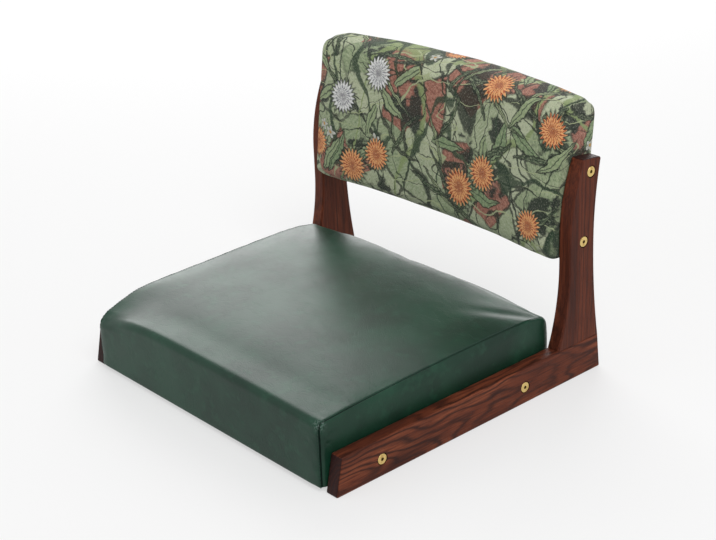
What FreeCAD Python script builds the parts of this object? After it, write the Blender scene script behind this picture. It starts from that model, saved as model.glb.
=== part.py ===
"""Legless floor chair: two L-shaped wooden side frames, a box seat cushion and a curved back pad.

Millimetres, +Z up. The sitter faces -Y, and +X is the right-hand side seen from the front.
The origin is the middle of the chair's footprint box, on the floor.
Sizes along Y are taken from the foot of the rails and shifted to the origin by each placement.
"""
import FreeCAD, Part
import math
import os

import Sketcher

Vector = FreeCAD.Vector
Rotation = FreeCAD.Rotation
Placement = FreeCAD.Placement

UP = Vector(0, 0, 1)
TOUCHING = 1e-6
NEARLY = 0.01  # how near an edge lies to a level that it is looked for on
LEAST_CUT = 1.0  # volume in cubic millimetres that a pocket takes away at least
QUARTER_PULL = 0.39  # a cubic's handles over its chord, for a near-circular quarter turn
FLAT_RISE = 0.5  # faint swell of the pad's top and bottom edges
CORNER_SHARES = (1.0, 0.8, 0.6)  # sections over the start of the pad's rounded top corners
END_TURNS = (0, 25, 45, 65, 80, 90)  # degrees round the pad's rolled ends
MIDDLE_SHARES = (-1.0, -0.5, 0.0, 0.5, 1.0)  # sections of the seat, and of the pad between its ends
STAPLES_A_SIDE = 6
HEXAGON = 6

SIZES = {
    # side frames
    "overall_width": (500.0, "outer face to outer face of the side frames"),
    "side_thickness": (20.0, "board thickness of rails and uprights"),
    "rail_height": (50.0, "height of a floor rail"),
    "rail_length": (463.0, "floor rail, foot to foot along the floor"),
    "rail_front_slant": (11.0, "how far the front end leans back over the rail height"),
    "edge_ease": (2.5, "rounding of the frame edges"),
    "upright_front": (401.5, "front edge of an upright, behind the foot of the rail"),
    "flare_radius": (310.0, "hollow curve in front of the upright's foot"),
    "flare_top": (160.0, "height where the hollow curve ends"),
    "lean_start": (200.0, "height where the upright's front starts to lean back"),
    "lean_radius": (242.0, "front curve above that height"),
    "upright_top_front": (301.5, "height of the upright's top at its front edge"),
    "upright_top_rear": (297.0, "height of the upright's top at its rear edge"),
    "upright_waist_rear": (446.8, "rear edge at its waist, behind the foot of the rail"),
    "waist_height": (190.0, "height of the waist"),
    "rear_lower_radius": (880.0, "rear curve below the waist"),
    "rear_upper_radius": (535.0, "rear curve above the waist"),
    "dowel_radius": (4.0, "dowels between rail and upright"),
    "dowel_depth": (24.0, "depth of a dowel in each board"),
    "dowel_inset": (20.0, "dowels from the ends of the joint"),
    "dowel_fit": (0.1, "room round a dowel and at its ends"),
    # bolts and inserts
    "bolt_radius": (3.0, "M6 bolt shank"),
    "bolt_length": (38.0, "bolt under its head"),
    "head_radius": (7.0, "flat round bolt head"),
    "head_thickness": (2.3, "head thickness"),
    "head_rim": (0.7, "rounding of the head's rim"),
    "socket_circle": (2.31, "corner radius of the hexagon socket"),
    "socket_depth": (1.6, "hexagon socket depth"),
    "sink_radius": (8.0, "sunk ring round a head"),
    "sink_depth": (2.5, "depth of the sunk ring"),
    "bolt_room": (0.3, "room round a shank in its hole"),
    "insert_radius": (5.0, "threaded insert, outside"),
    "insert_length": (15.0, "threaded insert length"),
    "insert_hole_depth": (20.0, "hole for an insert and the bolt's end"),
    "thread_fit": (0.05, "room round a thread"),
    "rail_bolt_height": (23.0, "seat bolts above the floor"),
    "rail_bolt_front": (73.0, "front seat bolt, behind the foot of the rail"),
    "rail_bolt_rear": (319.0, "rear seat bolt, behind the foot of the rail"),
    "back_bolt_depth": (427.0, "lower back bolt, behind the foot of the rail"),
    "back_bolt_height": (190.0, "lower back bolt above the floor"),
    "back_bolt_spacing": (92.5, "between the two back bolts of a side"),
    "back_lean": (7.2, "lean of the back pad in degrees"),
    # seat cushion
    "seat_overhang": (5.0, "seat ahead of the foot of the rail"),
    "seat_setback": (2.5, "seat rear, ahead of the uprights' front edge"),
    "seat_bottom": (5.0, "underside of the seat cover above the floor"),
    "seat_front_height": (95.0, "side seam above the floor at the front"),
    "seat_rear_height": (102.0, "side seam above the floor at the rear"),
    "seat_crown": (4.0, "rise of the seat's middle above its side seams"),
    "seat_long_crown": (2.5, "rise of the seat along its length"),
    "seat_front_radius": (15.0, "rolled front edge"),
    "seat_rear_radius": (32.0, "rolled rear edge"),
    "seat_front_corner": (9.0, "front corners in plan"),
    "seat_rear_corner": (28.0, "rear corners in plan"),
    "seat_draw": (1.5, "how far the sides are drawn in between the corners"),
    "cover_thickness": (1.2, "leatherette and woven cover"),
    "soft_gap": (0.3, "room between a soft piece and its neighbour"),
    "frame_inset": (3.5, "seat and back frames inside the soft outline"),
    "batten_bottom": (6.5, "underside of the seat battens above the floor"),
    "batten_height": (30.0, "seat battens"),
    "batten_width": (26.0, "seat battens"),
    "plywood_thickness": (9.0, "seat plywood"),
    "flange_width": (30.0, "cover folded under the seat"),
    "dust_cover_thickness": (0.6, "cloth under the seat"),
    "dust_cover_margin": (9.0, "dust cover from the edge of the seat"),
    "dust_corner": (18.0, "corners of the dust cover"),
    "staple_crown": (10.0, "staple width"),
    "staple_leg": (8.0, "staple height"),
    "staple_wire": (0.9, "staple wire"),
    "staple_inset": (17.0, "staples from the edge of the seat"),
    "staple_pitch": (62.0, "between staples"),
    "screw_radius": (1.9, "wood screw shank"),
    "screw_head_radius": (3.8, "countersunk head"),
    "screw_head_height": (2.2, "countersunk head"),
    "screw_length": (24.0, "wood screw with its head"),
    "screw_inset": (13.0, "screws from the edge of the seat plywood"),
    # back pad, upright positions from the lower bolt along the leaning pad
    "back_gap": (0.6, "between the pad's end and the upright"),
    "back_bottom": (-27.0, "pad bottom"),
    "back_top": (180.0, "pad top at its ends"),
    "back_front": (38.0, "pad front ahead of the bolts"),
    "back_rear": (24.0, "pad rear behind the bolts"),
    "back_front_crown": (7.0, "swell of the front face"),
    "back_rear_crown": (3.5, "swell of the rear face"),
    "back_top_crown": (5.0, "rise of the top edge in the middle"),
    "back_bow": (16.0, "how far the pad's middle stands behind its ends"),
    "back_top_radius": (24.0, "rolled top edges"),
    "back_bottom_radius": (16.0, "rolled bottom edges"),
    "back_end_radius": (8.0, "rolled end edges"),
    "back_top_corner": (16.0, "top corners seen from the front"),
    "back_board_rear": (-14.0, "rear face of the back board at its ends"),
    "back_board_thickness": (6.0, "bent plywood board"),
    "back_board_bottom": (-18.0, "bottom of the back board and stiles"),
    "back_board_top": (160.0, "top of the back board"),
    "back_board_corner": (24.0, "top corners of the board"),
    "stile_rear": (14.0, "rear face of the stiles"),
    "stile_top": (130.0, "top of the stiles"),
    "stile_width": (40.0, "stile width"),
    "cross_rail_height": (26.0, "top and bottom rails of the back frame"),
    "back_screw_low": (20.0, "lowest screws of the back board"),
    "back_screw_middle": (70.0, "middle screws of the back board"),
    "back_screw_high": (115.0, "highest screws of the back board"),
    "rear_panel_margin": (18.0, "rear cover panel from the pad's outline"),
    "rear_panel_corner": (16.0, "corners of the rear cover panel"),
}

doc = FreeCAD.newDocument("floor_chair")
sheet = doc.addObject("Spreadsheet::Sheet", "Sizes")
for row, (alias, (number, meaning)) in enumerate(SIZES.items(), start=1):
    sheet.set(f"A{row}", meaning)
    sheet.set(f"B{row}", str(number))
    sheet.setAlias(f"B{row}", alias)
doc.recompute()


class Size:
    """A length as a number together with the sheet expression that gives it."""

    def __init__(self, value, text):
        self.value = float(value)
        self.text = text

    @staticmethod
    def of(thing):
        return thing if isinstance(thing, Size) else Size(thing, repr(float(thing)))

    def joined(self, other, sign, value):
        return Size(value, f"({self.text} {sign} {Size.of(other).text})")

    def __add__(self, other):
        return self.joined(other, "+", self.value + Size.of(other).value)

    def __sub__(self, other):
        return self.joined(other, "-", self.value - Size.of(other).value)

    def __mul__(self, other):
        return self.joined(other, "*", self.value * Size.of(other).value)

    def __truediv__(self, other):
        return self.joined(other, "/", self.value / Size.of(other).value)

    def __radd__(self, other):
        return Size.of(other) + self

    def __rsub__(self, other):
        return Size.of(other) - self

    def __neg__(self):
        return Size(-self.value, f"(0 - {self.text})")

    def root(self):
        return Size(math.sqrt(self.value), f"sqrt({self.text})")


def cell(alias):
    """The sheet's cell of that name."""
    return Size(sheet.get(alias), f"Sizes.{alias}")


def number(alias):
    """The plain number in the sheet's cell of that name."""
    return cell(alias).value


def bow(radius, rise):
    """How far a circle falls away from its tangent over a rise along that tangent."""
    return radius - (radius * radius - rise * rise).root()


def bind(thing, **properties):
    """Tie properties of a document object to sheet expressions."""
    for name, size in properties.items():
        thing.setExpression(name, Size.of(size).text)


def place(thing, x=0.0, y=0.0, z=0.0, turn=None):
    """Tie an object's position to sheet expressions, after turning it."""
    if turn is not None:
        thing.Placement = Placement(Vector(), turn)
    for letter, size in zip("xyz", (x, y, z)):
        thing.setExpression(f"Placement.Base.{letter}", Size.of(size).text)
    return thing


HALF_WIDTH = cell("overall_width") / 2
THICKNESS = cell("side_thickness")
RAIL = cell("rail_height")
COVER = cell("cover_thickness")
SOFT = cell("soft_gap")
INNER = HALF_WIDTH - THICKNESS
SEAT_HALF = INNER - SOFT
SEAT_FRONT = -cell("seat_overhang")
SEAT_REAR = cell("upright_front") - cell("seat_setback")
SEAT_FRAME_HALF = SEAT_HALF - cell("frame_inset")
BACK_HALF = INNER - cell("back_gap")
BACK_FRAME_HALF = BACK_HALF - cell("frame_inset")
BACK_RADIUS = (BACK_HALF * BACK_HALF + cell("back_bow") * cell("back_bow")) / (cell("back_bow") * 2)
TOE = cell("upright_front") - bow(cell("flare_radius"), cell("flare_top") - RAIL)
HEEL = cell("upright_waist_rear") + bow(cell("rear_lower_radius"), cell("waist_height") - RAIL)
ALONG_X = Rotation(Vector(0, 1, 0), 90)


def straight(start, end):
    return Part.LineSegment(start, end).toShape()


def slab(low, high):
    """A box shape between two corners."""
    size = [top - bottom for bottom, top in zip(low, high)]
    return Part.makeBox(*size, Vector(*low))


def swell(start, end, rise, outward):
    """An arc from start to end that stands out by rise in the middle, and its two end tangents."""
    chord = end - start
    middle = (start + end) * 0.5 + outward * rise
    turn = math.degrees(2 * math.atan2(2 * rise, chord.Length))
    axis = chord.cross(outward)
    leaving = Rotation(axis, turn).multVec(chord)
    arriving = Rotation(axis, -turn).multVec(chord)
    leaving.normalize()
    arriving.normalize()
    return Part.Arc(start, middle, end).toShape(), leaving, arriving


def roll(start, leaving, end, arriving):
    """A round corner from start to end, tangent to both directions."""
    pull = (end - start).Length * QUARTER_PULL
    curve = Part.BezierCurve()
    curve.setPoles([start, start + leaving * pull, end - arriving * pull, end])
    return curve.toShape()


def rounded_section(faces):
    """A closed section from faces (start, end, rise, outward) with round corners between them."""
    bowed = [swell(*face) for face in faces]
    edges = []
    for index, (edge, _, arriving) in enumerate(bowed):
        following = (index + 1) % len(faces)
        edges.append(edge)
        if (faces[following][0] - faces[index][1]).Length > TOUCHING:
            edges.append(roll(faces[index][1], arriving, faces[following][0], bowed[following][1]))
    return Part.Wire(edges)


def seat_section(x, inset):
    """The seat's outline in the plane at x, every face moved in by inset."""
    fall = 1 - (x / SEAT_HALF.value) ** 2
    front = SEAT_FRONT.value + inset
    rear = SEAT_REAR.value - inset
    low = number("seat_bottom") + inset
    front_top = number("seat_front_height") + number("seat_crown") * fall - inset
    rear_top = number("seat_rear_height") + number("seat_crown") * fall - inset
    front_roll = number("seat_front_radius") - inset
    rear_roll = number("seat_rear_radius") - inset
    top_start = Vector(x, front + front_roll, front_top)
    top_end = Vector(x, rear - rear_roll, rear_top)
    top, leaving, arriving = swell(top_start, top_end, number("seat_long_crown"), UP)
    below = Vector(x, front, low)
    behind = Vector(x, rear, low)
    front_end = Vector(x, front, front_top - front_roll)
    rear_end = Vector(x, rear, rear_top - rear_roll)
    return Part.Wire([
        straight(below, front_end),
        roll(front_end, UP, top_start, leaving),
        top,
        roll(top_end, arriving, rear_end, -UP),
        straight(rear_end, behind),
        straight(behind, below),
    ])


def seat_plan(inset, height):
    """The seat's outline in plan as a block, its sides drawn in between the corners."""
    half = SEAT_HALF.value - inset
    front = SEAT_FRONT.value + inset
    rear = SEAT_REAR.value - inset
    front_corner = number("seat_front_corner") - inset
    rear_corner = number("seat_rear_corner") - inset
    middle = (front + rear) / 2
    edges = [
        straight(Vector(front_corner - half, front), Vector(half - front_corner, front)),
        straight(Vector(half - rear_corner, rear), Vector(rear_corner - half, rear)),
    ]
    for side in (-1, 1):
        front_side = Vector(side * half, front + front_corner)
        rear_side = Vector(side * half, rear - rear_corner)
        waist = Vector(side * (half - number("seat_draw")), middle)
        edges.append(Part.Arc(front_side, waist, rear_side).toShape())
        edges.append(quarter(Vector(side * (half - front_corner), front + front_corner), front_corner,
                             Vector(side, 0), Vector(0, -1)))
        edges.append(quarter(Vector(side * (half - rear_corner), rear - rear_corner), rear_corner,
                             Vector(side, 0), Vector(0, 1)))
    wire = Part.Wire(Part.__sortEdges__(edges))
    return Part.Face(wire).extrude(UP * height)


def quarter(centre, radius, first, second):
    """A quarter circle round a centre, from the one direction to the other."""
    diagonal = first + second
    diagonal.normalize()
    arc = Part.Arc(centre + first * radius, centre + diagonal * radius, centre + second * radius)
    return arc.toShape()


def seat_form(inset):
    """The whole seat cushion, every face moved in by inset."""
    half = SEAT_HALF.value
    sections = [seat_section(x, inset) for x in (half * share for share in MIDDLE_SHARES)]
    return Part.makeLoft(sections, True, False).common(seat_plan(inset, number("overall_width")))


def end_rounding(x, radius, inset):
    """How far an end of that rounding has fallen away at x, once it is moved in by inset."""
    reach = abs(x) - (BACK_HALF.value - radius)
    if reach <= 0:
        return 0.0
    left = radius - inset
    return left - math.sqrt(max(left ** 2 - reach ** 2, 0.0))


def back_section(x, inset):
    """The pad's outline in the plane at x, in the leaning frame of the bolts, moved in by inset."""
    fall = 1 - (x / BACK_HALF.value) ** 2
    shift = number("back_bow") * fall
    end = end_rounding(x, number("back_end_radius"), inset)
    corner = end_rounding(x, number("back_top_corner"), inset)
    front = shift - number("back_front") + inset + end
    rear = shift + number("back_rear") - inset - end
    low = number("back_bottom") + inset + end
    high = number("back_top") + number("back_top_crown") * fall - inset - corner
    top_roll = number("back_top_radius") - inset - end
    low_roll = number("back_bottom_radius") - inset - end
    forward = Vector(0, -1, 0)
    front_low = Vector(x, front, low + low_roll)
    front_high = Vector(x, front, high - top_roll)
    rear_low = Vector(x, rear, low + low_roll)
    rear_high = Vector(x, rear, high - top_roll)
    return rounded_section([
        (front_low, front_high, number("back_front_crown"), forward),
        (Vector(x, front + top_roll, high), Vector(x, rear - top_roll, high), FLAT_RISE, UP),
        (rear_high, rear_low, number("back_rear_crown"), -forward),
        (Vector(x, rear - low_roll, low), Vector(x, front + low_roll, low), FLAT_RISE, -UP),
    ])


def back_form(inset):
    """The whole back pad in the leaning frame of the bolts, every face moved in by inset."""
    round_end = number("back_end_radius")
    round_corner = number("back_top_corner")
    stations = [BACK_HALF.value - round_corner * share for share in CORNER_SHARES]
    stations += [BACK_HALF.value - round_end + (round_end - inset) * math.sin(math.radians(turn))
                 for turn in END_TURNS]
    middle = [stations[0] * share for share in MIDDLE_SHARES]
    middle_part = Part.makeLoft([back_section(x, inset) for x in middle], True, False)
    end_part = Part.makeLoft([back_section(x, inset) for x in stations], True, False)
    other_end = end_part.mirror(Vector(), Vector(1, 0, 0))
    return middle_part.fuse([end_part, other_end]).Solids[0]


def leaning(shape):
    """A shape from the leaning frame of the bolts moved to the foot-of-rail frame."""
    moved = shape.copy()
    moved.Placement = Placement(Vector(0, number("back_bolt_depth"), number("back_bolt_height")),
                                Rotation(Vector(-1, 0, 0), number("back_lean")))
    return moved


seat_outer = seat_form(0.0).Solids[0]
seat_inner = seat_form(COVER.value).Solids[0]
seat_soft = seat_form((COVER + SOFT).value).Solids[0]
back_outer = back_form(0.0)
back_inner = back_form(COVER.value)
back_soft = back_form((COVER + SOFT).value)

depth_box = leaning(back_outer).optimalBoundingBox(True, False)
depth_middle = (SEAT_FRONT.value + depth_box.YMax) / 2
sheet.set(f"A{len(SIZES) + 1}", "middle of the chair's depth, behind the foot of the rail")
sheet.set(f"B{len(SIZES) + 1}", str(round(depth_middle, 3)))
sheet.setAlias(f"B{len(SIZES) + 1}", "depth_middle")
doc.recompute()
SHIFT = -cell("depth_middle")

nodes = []


def node(thing, label):
    """Name an object as one of the chair's separate pieces."""
    thing.Label = label
    nodes.append(thing)
    return thing


def primitive(kind, name, **properties):
    thing = doc.addObject(f"Part::{kind}", name)
    bind(thing, **properties)
    return thing


def box(name, x, y, z, length, width, height):
    """A box with its low corner at x, y, z."""
    thing = primitive("Box", name, Length=length, Width=width, Height=height)
    return place(thing, x, y, z)


def cylinder(name, radius, height, x, y, z, turn=None):
    thing = primitive("Cylinder", name, Radius=radius, Height=height)
    return place(thing, x, y, z, turn)


def cut(name, base, *tools):
    """Base without the tools."""
    tool = tools[0] if len(tools) == 1 else group(f"{name}_tools", tools)
    thing = doc.addObject("Part::Cut", name)
    thing.Base = base
    thing.Tool = tool
    return thing


def fuse(name, *shapes):
    thing = doc.addObject("Part::MultiFuse", name)
    thing.Shapes = list(shapes)
    return thing


def group(name, members):
    thing = doc.addObject("Part::Compound", name)
    thing.Links = list(members)
    return thing


def copies(name, source, spots, turn=None):
    """One group of copies of a source, each at a spot (x, y, z) in the group's own frame."""
    links = []
    for index, (x, y, z) in enumerate(spots, start=1):
        link = doc.addObject("App::Link", f"{name}_{index}")
        link.LinkedObject = source
        links.append(place(link, x, y, z, turn))
    return group(f"{name}_group", links)


def mirrored(source, label):
    """The left-hand counterpart of a right-hand piece."""
    thing = doc.addObject("Part::Mirroring", label)
    thing.Source = source
    thing.Normal = Vector(1, 0, 0)
    return node(thing, label)


def new_body(label):
    body = doc.addObject("PartDesign::Body", f"{label}_body")
    body.Label = label
    return body


def new_sketch(body, name, role, lift=0.0):
    """A sketch on one of the body's origin planes, lifted off it along the plane's normal."""
    sketch = body.newObject("Sketcher::SketchObject", name)
    support = next(part for part in body.Origin.OriginFeatures if part.Role == role)
    sketch.AttachmentSupport = [(support, "")]
    sketch.MapMode = "FlatFace"
    sketch.setExpression("AttachmentOffset.Base.z", Size.of(lift).text)
    return sketch


def fix_point(sketch, geometry, point, x, y):
    """Tie one point of a sketch to two sheet expressions."""
    for kind, size, axis in (("DistanceX", x, -2), ("DistanceY", y, -1)):
        size = Size.of(size)
        if abs(size.value) < TOUCHING:
            sketch.addConstraint(Sketcher.Constraint("PointOnObject", geometry, point, axis))
            continue
        tied = sketch.addConstraint(Sketcher.Constraint(kind, -1, 1, geometry, point, size.value))
        sketch.setExpression(f"Constraints[{tied}]", size.text)


def draw_outline(sketch, corners):
    """A closed outline through corners (x, y, radius, side), all tied to the sheet.

    radius is None for a straight edge to the next corner. Otherwise it is the radius of an arc to
    it, whose centre lies left of the way there for side 1 and right of it for side -1.
    """
    count = len(corners)
    points = [Vector(Size.of(x).value, Size.of(y).value, 0) for x, y, _, _ in corners]
    begins = []
    for index, (_, _, radius, side) in enumerate(corners):
        start = points[index]
        end = points[(index + 1) % count]
        begins.append(2 if side == -1 and radius is not None else 1)
        if radius is None:
            sketch.addGeometry(Part.LineSegment(start, end), False)
            continue
        chord = end - start
        left = Vector(-chord.y, chord.x, 0)
        left.normalize()
        reach = math.sqrt(max(radius.value ** 2 - (chord.Length / 2) ** 2, 0.0))
        centre = (start + end) * 0.5 + left * (side * reach)
        middle = centre - left * (side * radius.value)
        sketch.addGeometry(Part.Arc(start, middle, end), False)
    for index, (x, y, radius, _) in enumerate(corners):
        following = (index + 1) % count
        leave = 3 - begins[index]
        joined = Sketcher.Constraint("Coincident", index, leave, following, begins[following])
        sketch.addConstraint(joined)
        fix_point(sketch, index, begins[index], x, y)
        if radius is not None:
            tied = sketch.addConstraint(Sketcher.Constraint("Radius", index, radius.value))
            sketch.setExpression(f"Constraints[{tied}]", radius.text)


def draw_circles(sketch, radius, centres):
    """Circles of one radius at centres tied to the sheet."""
    for index, (x, y) in enumerate(centres):
        spot = Vector(Size.of(x).value, Size.of(y).value, 0)
        sketch.addGeometry(Part.Circle(spot, UP, radius.value), False)
        fix_point(sketch, index, 3, x, y)
        tied = sketch.addConstraint(Sketcher.Constraint("Radius", index, radius.value))
        sketch.setExpression(f"Constraints[{tied}]", radius.text)


def pad(body, sketch, length):
    feature = body.newObject("PartDesign::Pad", f"{sketch.Name}_pad")
    feature.Profile = sketch
    bind(feature, Length=length)
    doc.recompute()
    return feature


def pocket(body, sketch, depth, reverse=False):
    """Cut a sketch out of the body and make sure that it took material away."""
    before = body.Shape.Volume
    feature = body.newObject("PartDesign::Pocket", f"{sketch.Name}_pocket")
    feature.Profile = sketch
    feature.Reversed = reverse
    bind(feature, Length=depth)
    doc.recompute()
    if body.Shape.Volume > before - LEAST_CUT:
        raise ValueError(f"{sketch.Name} cuts nothing")
    return feature


def ease(body, feature, keep):
    """Round every edge of a feature for which keep(edge) is true."""
    chosen = [f"Edge{index}" for index, edge in enumerate(feature.Shape.Edges, start=1) if keep(edge)]
    fillet = body.newObject("PartDesign::Fillet", f"{feature.Name}_ease")
    fillet.Base = (feature, chosen)
    bind(fillet, Radius=cell("edge_ease"))
    doc.recompute()
    return fillet


# Side frame, right-hand side

RAIL_BOLTS = [(cell("rail_bolt_front"), cell("rail_bolt_height")),
              (cell("rail_bolt_rear"), cell("rail_bolt_height"))]
LEAN = cell("back_lean")
RISE = Size(math.cos(math.radians(LEAN.value)), f"cos({LEAN.text} * 1 deg)")
RUN = Size(math.sin(math.radians(LEAN.value)), f"sin({LEAN.text} * 1 deg)")
BACK_BOLTS = [(cell("back_bolt_depth"), cell("back_bolt_height")),
              (cell("back_bolt_depth") + cell("back_bolt_spacing") * RUN,
               cell("back_bolt_height") + cell("back_bolt_spacing") * RISE)]
DOWEL_SPOTS = [(HALF_WIDTH - THICKNESS / 2, TOE + cell("dowel_inset")),
               (HALF_WIDTH - THICKNESS / 2, HEEL - cell("dowel_inset"))]


def side_board(label, corners, bolts, eased, dowels_down):
    """A board of the side frame with its sunk bolt holes and its dowel holes."""
    body = new_body(label)
    shape = new_sketch(body, f"{label}_outline", "YZ_Plane")
    draw_outline(shape, corners)
    board = pad(body, shape, THICKNESS)
    ease(body, board, eased)
    for name, radius, depth in (("sinks", cell("sink_radius"), cell("sink_depth")),
                                ("holes", cell("bolt_radius") + cell("bolt_room"), THICKNESS)):
        circles = new_sketch(body, f"{label}_{name}", "YZ_Plane", THICKNESS)
        draw_circles(circles, radius, bolts)
        pocket(body, circles, depth)
    sockets = new_sketch(body, f"{label}_dowel_holes", "XY_Plane", RAIL)
    draw_circles(sockets, cell("dowel_radius") + cell("dowel_fit"),
                 [(x - INNER, y) for x, y in DOWEL_SPOTS])
    pocket(body, sockets, cell("dowel_depth") + cell("dowel_fit"), not dowels_down)
    place(body, INNER, SHIFT, 0)
    return node(body, label)


def clear_of_joint(edge):
    """True for an edge that isn't an edge of the joint between rail and upright."""
    spots = [vertex.Point for vertex in edge.Vertexes]
    return any(abs(spot.z - RAIL.value) > NEARLY for spot in spots)


def rail_edge(edge):
    """True for every edge of a rail but the one over the foot's rear end."""
    spots = [vertex.Point for vertex in edge.Vertexes]
    return any(abs(spot.y - HEEL.value) > NEARLY or abs(spot.z - RAIL.value) > NEARLY
               for spot in spots)


right_rail = side_board("right_rail", [
    (Size.of(0), Size.of(0), None, 0),
    (cell("rail_length"), Size.of(0), None, 0),
    (HEEL, RAIL, None, 0),
    (cell("rail_front_slant"), RAIL, None, 0),
], RAIL_BOLTS, rail_edge, True)

right_upright = side_board("right_upright", [
    (TOE, RAIL, cell("flare_radius"), 1),
    (cell("upright_front"), cell("flare_top"), None, 0),
    (cell("upright_front"), cell("lean_start"), cell("lean_radius"), -1),
    (cell("upright_front") + bow(cell("lean_radius"), cell("upright_top_front") - cell("lean_start")),
     cell("upright_top_front"), None, 0),
    (cell("upright_waist_rear")
     + bow(cell("rear_upper_radius"), cell("upright_top_rear") - cell("waist_height")),
     cell("upright_top_rear"), cell("rear_upper_radius"), 1),
    (cell("upright_waist_rear"), cell("waist_height"), cell("rear_lower_radius"), 1),
    (HEEL, RAIL, None, 0),
], BACK_BOLTS, clear_of_joint, False)

mirrored(right_rail, "left_rail")
mirrored(right_upright, "left_upright")

dowel = cylinder("dowel", cell("dowel_radius"), cell("dowel_depth") * 2, 0, 0, 0)
right_dowels = copies("right_dowels", dowel,
                      [(x, y + SHIFT, RAIL - cell("dowel_depth")) for x, y in DOWEL_SPOTS])
node(right_dowels, "right_frame_dowels")
mirrored(right_dowels, "left_frame_dowels")


# Bolts and threaded inserts; the origin of each lies under the bolt's head, +X outward

shank = cylinder("bolt_shank", cell("bolt_radius"), cell("bolt_length"), -cell("bolt_length"), 0, 0,
                 ALONG_X)
head_blank = cylinder("bolt_head_blank", cell("head_radius"), cell("head_thickness"), 0, 0, 0, ALONG_X)
doc.recompute()
rim = next(index for index, edge in enumerate(head_blank.Shape.Edges, start=1)
           if edge.BoundBox.XMin > number("head_thickness") - NEARLY)
head = doc.addObject("Part::Fillet", "bolt_head")
head.Base = head_blank
head.Edges = [(rim, number("head_rim"), number("head_rim"))]
blank = fuse("bolt_blank", shank, head)
socket = primitive("Prism", "bolt_socket", Circumradius=cell("socket_circle"),
                   Height=cell("socket_depth") * 2)
socket.Polygon = HEXAGON
place(socket, cell("head_thickness") - cell("socket_depth"), 0, 0, ALONG_X)
bolt = cut("bolt", blank, socket)


def insert_in(name, frame_half):
    """A threaded insert sunk in a frame whose outer face stands at frame_half."""
    under_head = HALF_WIDTH - cell("sink_depth")
    start = frame_half - cell("insert_length") - under_head
    outside = cylinder(f"{name}_outside", cell("insert_radius"), cell("insert_length"), start, 0, 0,
                       ALONG_X)
    thread = cylinder(f"{name}_thread", cell("bolt_radius") + cell("thread_fit"),
                      cell("insert_length"), start, 0, 0, ALONG_X)
    return cut(name, outside, thread)


def bolt_set(place_name, source, what, spots):
    """The right-hand and left-hand groups of one kind of fastener."""
    right = copies(f"right_{place_name}_{what}", source,
                   [(HALF_WIDTH - cell("sink_depth"), y + SHIFT, z) for y, z in spots])
    node(right, f"right_{place_name}_{what}")
    mirrored(right, f"left_{place_name}_{what}")


bolt_set("seat", bolt, "bolts", RAIL_BOLTS)
bolt_set("back", bolt, "bolts", BACK_BOLTS)
bolt_set("seat", insert_in("seat_insert", SEAT_FRAME_HALF), "inserts", RAIL_BOLTS)
bolt_set("back", insert_in("back_insert", BACK_FRAME_HALF), "inserts", BACK_BOLTS)


# Seat frame

FRAME_FRONT = SEAT_FRONT + cell("frame_inset")
FRAME_REAR = SEAT_REAR - cell("frame_inset")
FRONT_CORNER = cell("seat_front_corner") - cell("frame_inset")
REAR_CORNER = cell("seat_rear_corner") - cell("frame_inset")
BATTEN = cell("batten_width")
BATTEN_TOP = cell("batten_bottom") + cell("batten_height")
PLYWOOD_TOP = BATTEN_TOP + cell("plywood_thickness")

screw = fuse(
    "screw",
    cylinder("screw_shank", cell("screw_radius"), cell("screw_length"), 0, 0, -cell("screw_length")),
    place(primitive("Cone", "screw_head", Radius1=cell("screw_radius"),
                    Radius2=cell("screw_head_radius"), Height=cell("screw_head_height")),
          0, 0, -cell("screw_head_height")),
)

staple_outside = box("staple_outside", -cell("staple_crown") / 2, -cell("staple_wire") / 2, 0,
                     cell("staple_crown"), cell("staple_wire"), cell("staple_leg"))
staple_inside = box("staple_inside", cell("staple_wire") - cell("staple_crown") / 2,
                    -cell("staple_wire"), cell("staple_wire"),
                    cell("staple_crown") - cell("staple_wire") * 2, cell("staple_wire") * 2,
                    cell("staple_leg"))
staple = cut("staple", staple_outside, staple_inside)

SCREW_X = SEAT_FRAME_HALF - cell("screw_inset")
SCREW_ROWS = [FRAME_FRONT + cell("screw_inset"),
              (FRAME_FRONT + FRAME_REAR) / 2,
              FRAME_REAR - cell("screw_inset") - REAR_CORNER]
screw_spots = [(x, y + SHIFT, PLYWOOD_TOP) for y in SCREW_ROWS for x in (-SCREW_X, SCREW_X)]
screw_spots += [(Size.of(0), y + SHIFT, PLYWOOD_TOP)
                for y in (FRAME_FRONT + cell("screw_inset"), FRAME_REAR - cell("screw_inset"))]
seat_screws = node(copies("seat_screws", screw, screw_spots), "seat_board_screws")

STAPLE_LOW = cell("seat_bottom") - cell("dust_cover_thickness") - cell("staple_wire")
STAPLE_X = SEAT_HALF - cell("staple_inset")
STEPS = [cell("staple_pitch") * (step - (STAPLES_A_SIDE - 1) / 2) for step in range(STAPLES_A_SIDE)]
SEAT_MIDDLE = (FRAME_FRONT + FRAME_REAR) / 2
across = copies("staples_across", staple,
                [(step, y + SHIFT, STAPLE_LOW) for step in STEPS
                 for y in (SEAT_FRONT + cell("staple_inset"), SEAT_REAR - cell("staple_inset"))])
along = copies("staples_along", staple,
               [(x, SEAT_MIDDLE + step + SHIFT, STAPLE_LOW) for step in STEPS
                for x in (-STAPLE_X, STAPLE_X)], Rotation(UP, 90))
seat_staples = node(group("seat_staples", [across, along]), "seat_cover_staples")


def seat_insert_holes(side):
    """Holes for the inserts and the bolts' ends in one side batten."""
    depth = cell("insert_hole_depth")
    start = SEAT_FRAME_HALF - depth if side > 0 else -SEAT_FRAME_HALF
    return [cylinder(f"insert_hole_{'right' if side > 0 else 'left'}_{index}",
                     cell("insert_radius") + cell("thread_fit"), depth, start, y + SHIFT, z, ALONG_X)
            for index, (y, z) in enumerate(RAIL_BOLTS, start=1)]


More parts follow.
